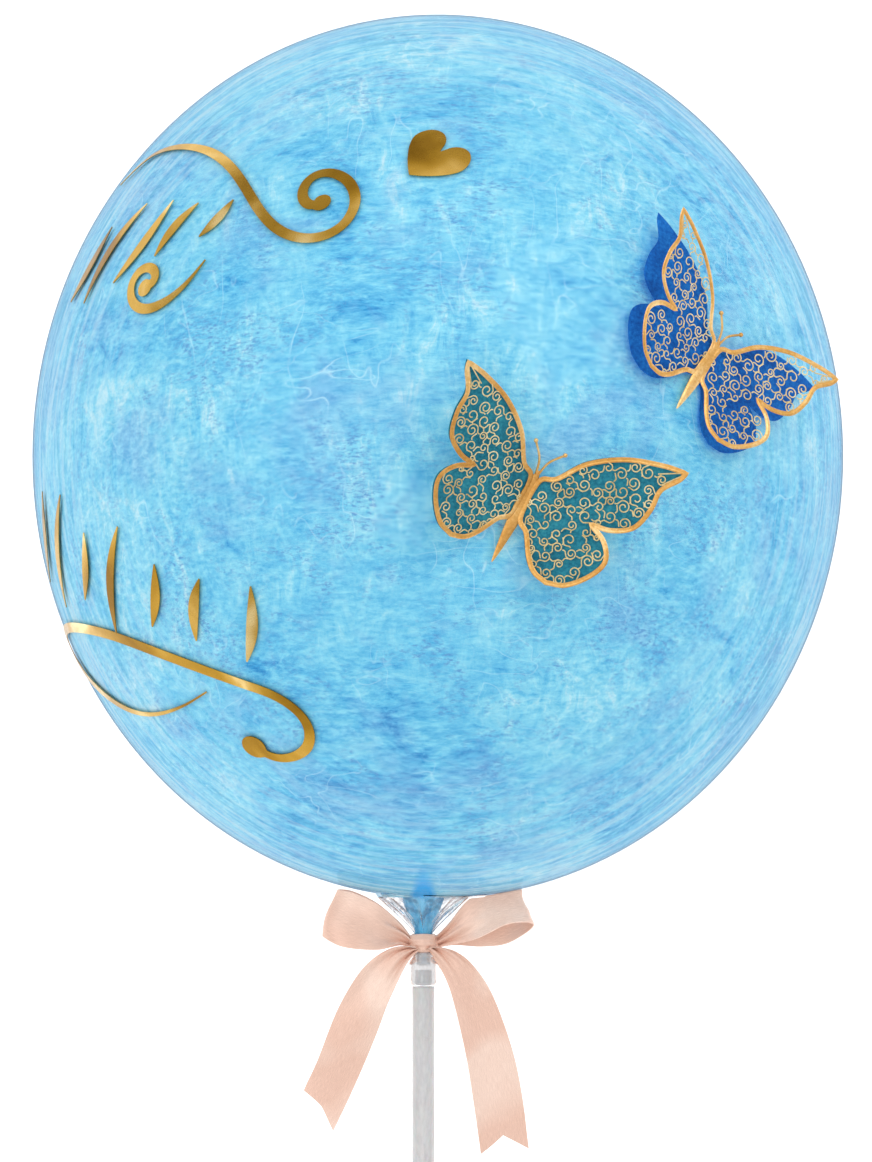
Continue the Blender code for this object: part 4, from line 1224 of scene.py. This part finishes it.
def wire(name, lines, width, closed=False):
    """Lines in a plane, turned into one mesh of flattened round bars."""
    begin()
    curve = bpy.data.curves.new(name, "CURVE")
    curve.dimensions = "3D"
    curve.bevel_depth = width / 2
    curve.bevel_resolution = 1
    curve.use_fill_caps = not closed
    for number, line in enumerate(lines):
        run = curve.splines.new("POLY")
        run.points.add(len(line) - 1)
        run.use_cyclic_u = closed
        for point, spot in zip(run.points, line):
            point.co = (spot.x, spot.y, (number % 7) * 0.00001, 1.0)
    only(put(name, curve))
    bpy.ops.object.convert(target="MESH")
    return bpy.context.object


def raise_wing(made, place, lift, cling, middle, hand):
    """Takes a flat wing to its place: mirrored for the left hand, lifted from the skin or drooping to it."""
    for vertex in made.data.vertices:
        out, forward, height = vertex.co
        right = out * math.cos(lift) - height * math.sin(lift)
        rise = out * math.sin(lift) + height * math.cos(lift)
        if cling:
            rise -= cling * skin_drop(place, hand * right, forward)
        vertex.co = place @ Vector((hand * right, forward, middle + rise))
    made.data.update()
    if hand < 0:
        edit(made)
        bpy.ops.mesh.flip_normals()
        leave()


def build_backing(name, place, half_span, lift, cling, material, slot):
    middle = CLEARANCE + BACKING_BODY_THICKNESS / 2
    wings = []
    for hand in (-1, 1):
        rows = [[Vector((*spot, 0.0)) * half_span for spot in row] for row in wing_rows(10, 24)]
        wing = thicken(laid_grid(f"{name} wing", rows), PAPER_THICKNESS)
        raise_wing(wing, place, lift, cling, middle, hand)
        wings.append(wing)
    finish_piece(lay_down(joined(name + "_paper", wings)), 40, material, slot, name)


def build_lace(name, place, half_span, lift, seed, rim_material, line_material):
    middle = CLEARANCE * 2 + BACKING_BODY_THICKNESS + LACE_BODY_THICKNESS / 2
    parts = []
    for hand in (-1, 1):
        outline, lines = filigree(half_span, random.Random(seed))
        inset = [drawn_in(point, half_span) for point in outline]
        for wing, flat, material in (
            (wire("rim", [inset], RIM_WIDTH, closed=True), 0.3, rim_material),
            (wire("lines", lines, LINE_WIDTH), 0.62, line_material),
        ):
            wing.data.materials.append(material)
            for vertex in wing.data.vertices:
                vertex.co.z *= flat
            raise_wing(wing, place, lift, 0.0, middle, hand)
            parts.append(wing)
        bent = [(out * half_span * hand, forward * half_span) for out, forward in ANTENNA_PATH]
        antenna_line = spline(bent, 8)
        antenna = wire("antenna", [antenna_line], ANTENNA_RADIUS * 2)
        raise_wing(antenna, place, 0.0, 0.0, middle, 1)
        begin()
        bpy.ops.mesh.primitive_uv_sphere_add(segments=16, ring_count=10, radius=ANTENNA_RADIUS * 1.9)
        club = named("club")
        end = antenna_line[-1]
        for vertex in club.data.vertices:
            vertex.co = place @ (vertex.co + Vector((end.x, end.y, middle)))
        for part in (antenna, club):
            part.data.materials.append(rim_material)
            parts.append(part)
    begin()
    bpy.ops.mesh.primitive_uv_sphere_add(segments=32, ring_count=40, radius=1.0)
    body = named("body")
    length = (BODY_HEAD - BODY_TAIL) * half_span / 2
    for vertex in body.data.vertices:
        along = vertex.co.z
        slim = 1.0 - 0.45 * max(0.0, 0.12 - along) - 0.22 * math.exp(-((along - 0.7) / 0.07) ** 2)
        ring = 1 + 0.03 * math.cos(46 * along) * (along < 0.0)
        across = vertex.co.x * BODY_HALF_WIDTH * slim * ring
        thick = vertex.co.y * LACE_BODY_THICKNESS / 2 * ring
        forward = (BODY_HEAD + BODY_TAIL) / 2 * half_span + along * length
        vertex.co = place @ Vector((across, forward, middle + thick))
    body.data.materials.append(rim_material)
    parts.insert(0, body)
    finish_piece(lay_down(joined(name + "_filigree", parts)), 40, None, "gold_paper", name)


def build_butterflies(rim_gold, line_gold):
    teal = coloured_paper("teal paper", (0.008, 0.12, 0.19), (0.018, 0.195, 0.28), (0.04, 0.3, 0.37))
    blue = coloured_paper("blue paper", (0.001, 0.06, 0.3), (0.003, 0.11, 0.45), (0.012, 0.19, 0.6))
    teal_skin = skin_frame(TEAL_PLACE, TEAL_HEADING), TEAL_HALF_SPAN
    blue_skin = skin_frame(BLUE_PLACE, BLUE_HEADING), BLUE_HALF_SPAN
    build_backing("butterfly_teal_backing", *teal_skin, TEAL_BACKING_LIFT, 0.0, teal, "teal_paper")
    build_backing("butterfly_blue_backing", *blue_skin, 0.0, BLUE_BACKING_CLING, blue, "blue_paper")
    build_lace("butterfly_teal_lace", *teal_skin, TEAL_LACE_LIFT, 4, rim_gold, line_gold)
    build_lace("butterfly_blue_lace", *blue_skin, BLUE_LACE_LIFT, 9, rim_gold, line_gold)


# Floor, light and camera


def build_stage():
    begin()
    bpy.ops.mesh.primitive_circle_add(vertices=96, radius=FLOOR_RADIUS, fill_type="NGON")
    floor = named("floor")
    floor.data.materials.append(pale_floor())

    world = bpy.data.worlds.new("pale room")
    bpy.context.scene.world = world
    world.use_nodes = True
    tree = world.node_tree
    direction = node(tree, "ShaderNodeTexCoord").outputs["Generated"]
    height = node(tree, "ShaderNodeSeparateXYZ", {"Vector": direction}).outputs["Z"]
    sky = ramp(tree, height, (0.0, 0.8), (0.3, 0.74), (0.9, 0.98))
    tree.links.new(sky, tree.nodes["Background"].inputs["Color"])

    for name, place, size, power in LAMPS:
        lamp = bpy.data.lights.new(name, "AREA")
        lamp.size = size
        lamp.energy = power
        made = put(name, lamp)
        made.location = place
        aim = LYING.translation - Vector(place)
        made.rotation_euler = aim.to_track_quat("-Z", "Y").to_euler()


def build_camera():
    data = bpy.data.cameras.new("camera")
    camera = put("camera", data)
    data.sensor_fit = "VERTICAL"
    data.sensor_height = SENSOR
    data.lens = SENSOR * CAMERA_DISTANCE / (PHOTO_HEIGHT * PIXEL)
    x = (PHOTO_WIDTH / 2 - BUBBLE_CENTRE_PIXEL[0]) * PIXEL
    y = -(PHOTO_HEIGHT / 2 - BUBBLE_CENTRE_PIXEL[1]) * PIXEL
    camera.matrix_world = LYING @ Matrix.Translation((x, y, CAMERA_DISTANCE))
    bpy.context.scene.camera = camera


build_camera()
gold = gold_foil()
build_film(clear_film(), gathered_film())
build_inner_balloon(clouded_blue())
build_inner_neck(vivid_blue())
build_cup(clear_plastic())
build_stick(frosted_tube())
build_bow(peach_satin())
scroll("scroll_upper", SCROLL_UPPER_PLACE, SCROLL_UPPER_PATH, BALL_RADIUS, gold)
scroll("scroll_curl", SCROLL_CURL_PLACE, SCROLL_CURL_PATH, BALL_RADIUS, gold)
scroll("scroll_lower", SCROLL_LOWER_PLACE, SCROLL_LOWER_PATH, LOWER_BALL_RADIUS, gold)
build_strokes(gold)
build_heart(gold)
build_butterflies(gold_paper(), pale_gold())
build_stage()
bpy.context.scene.view_settings.view_transform = "Standard"
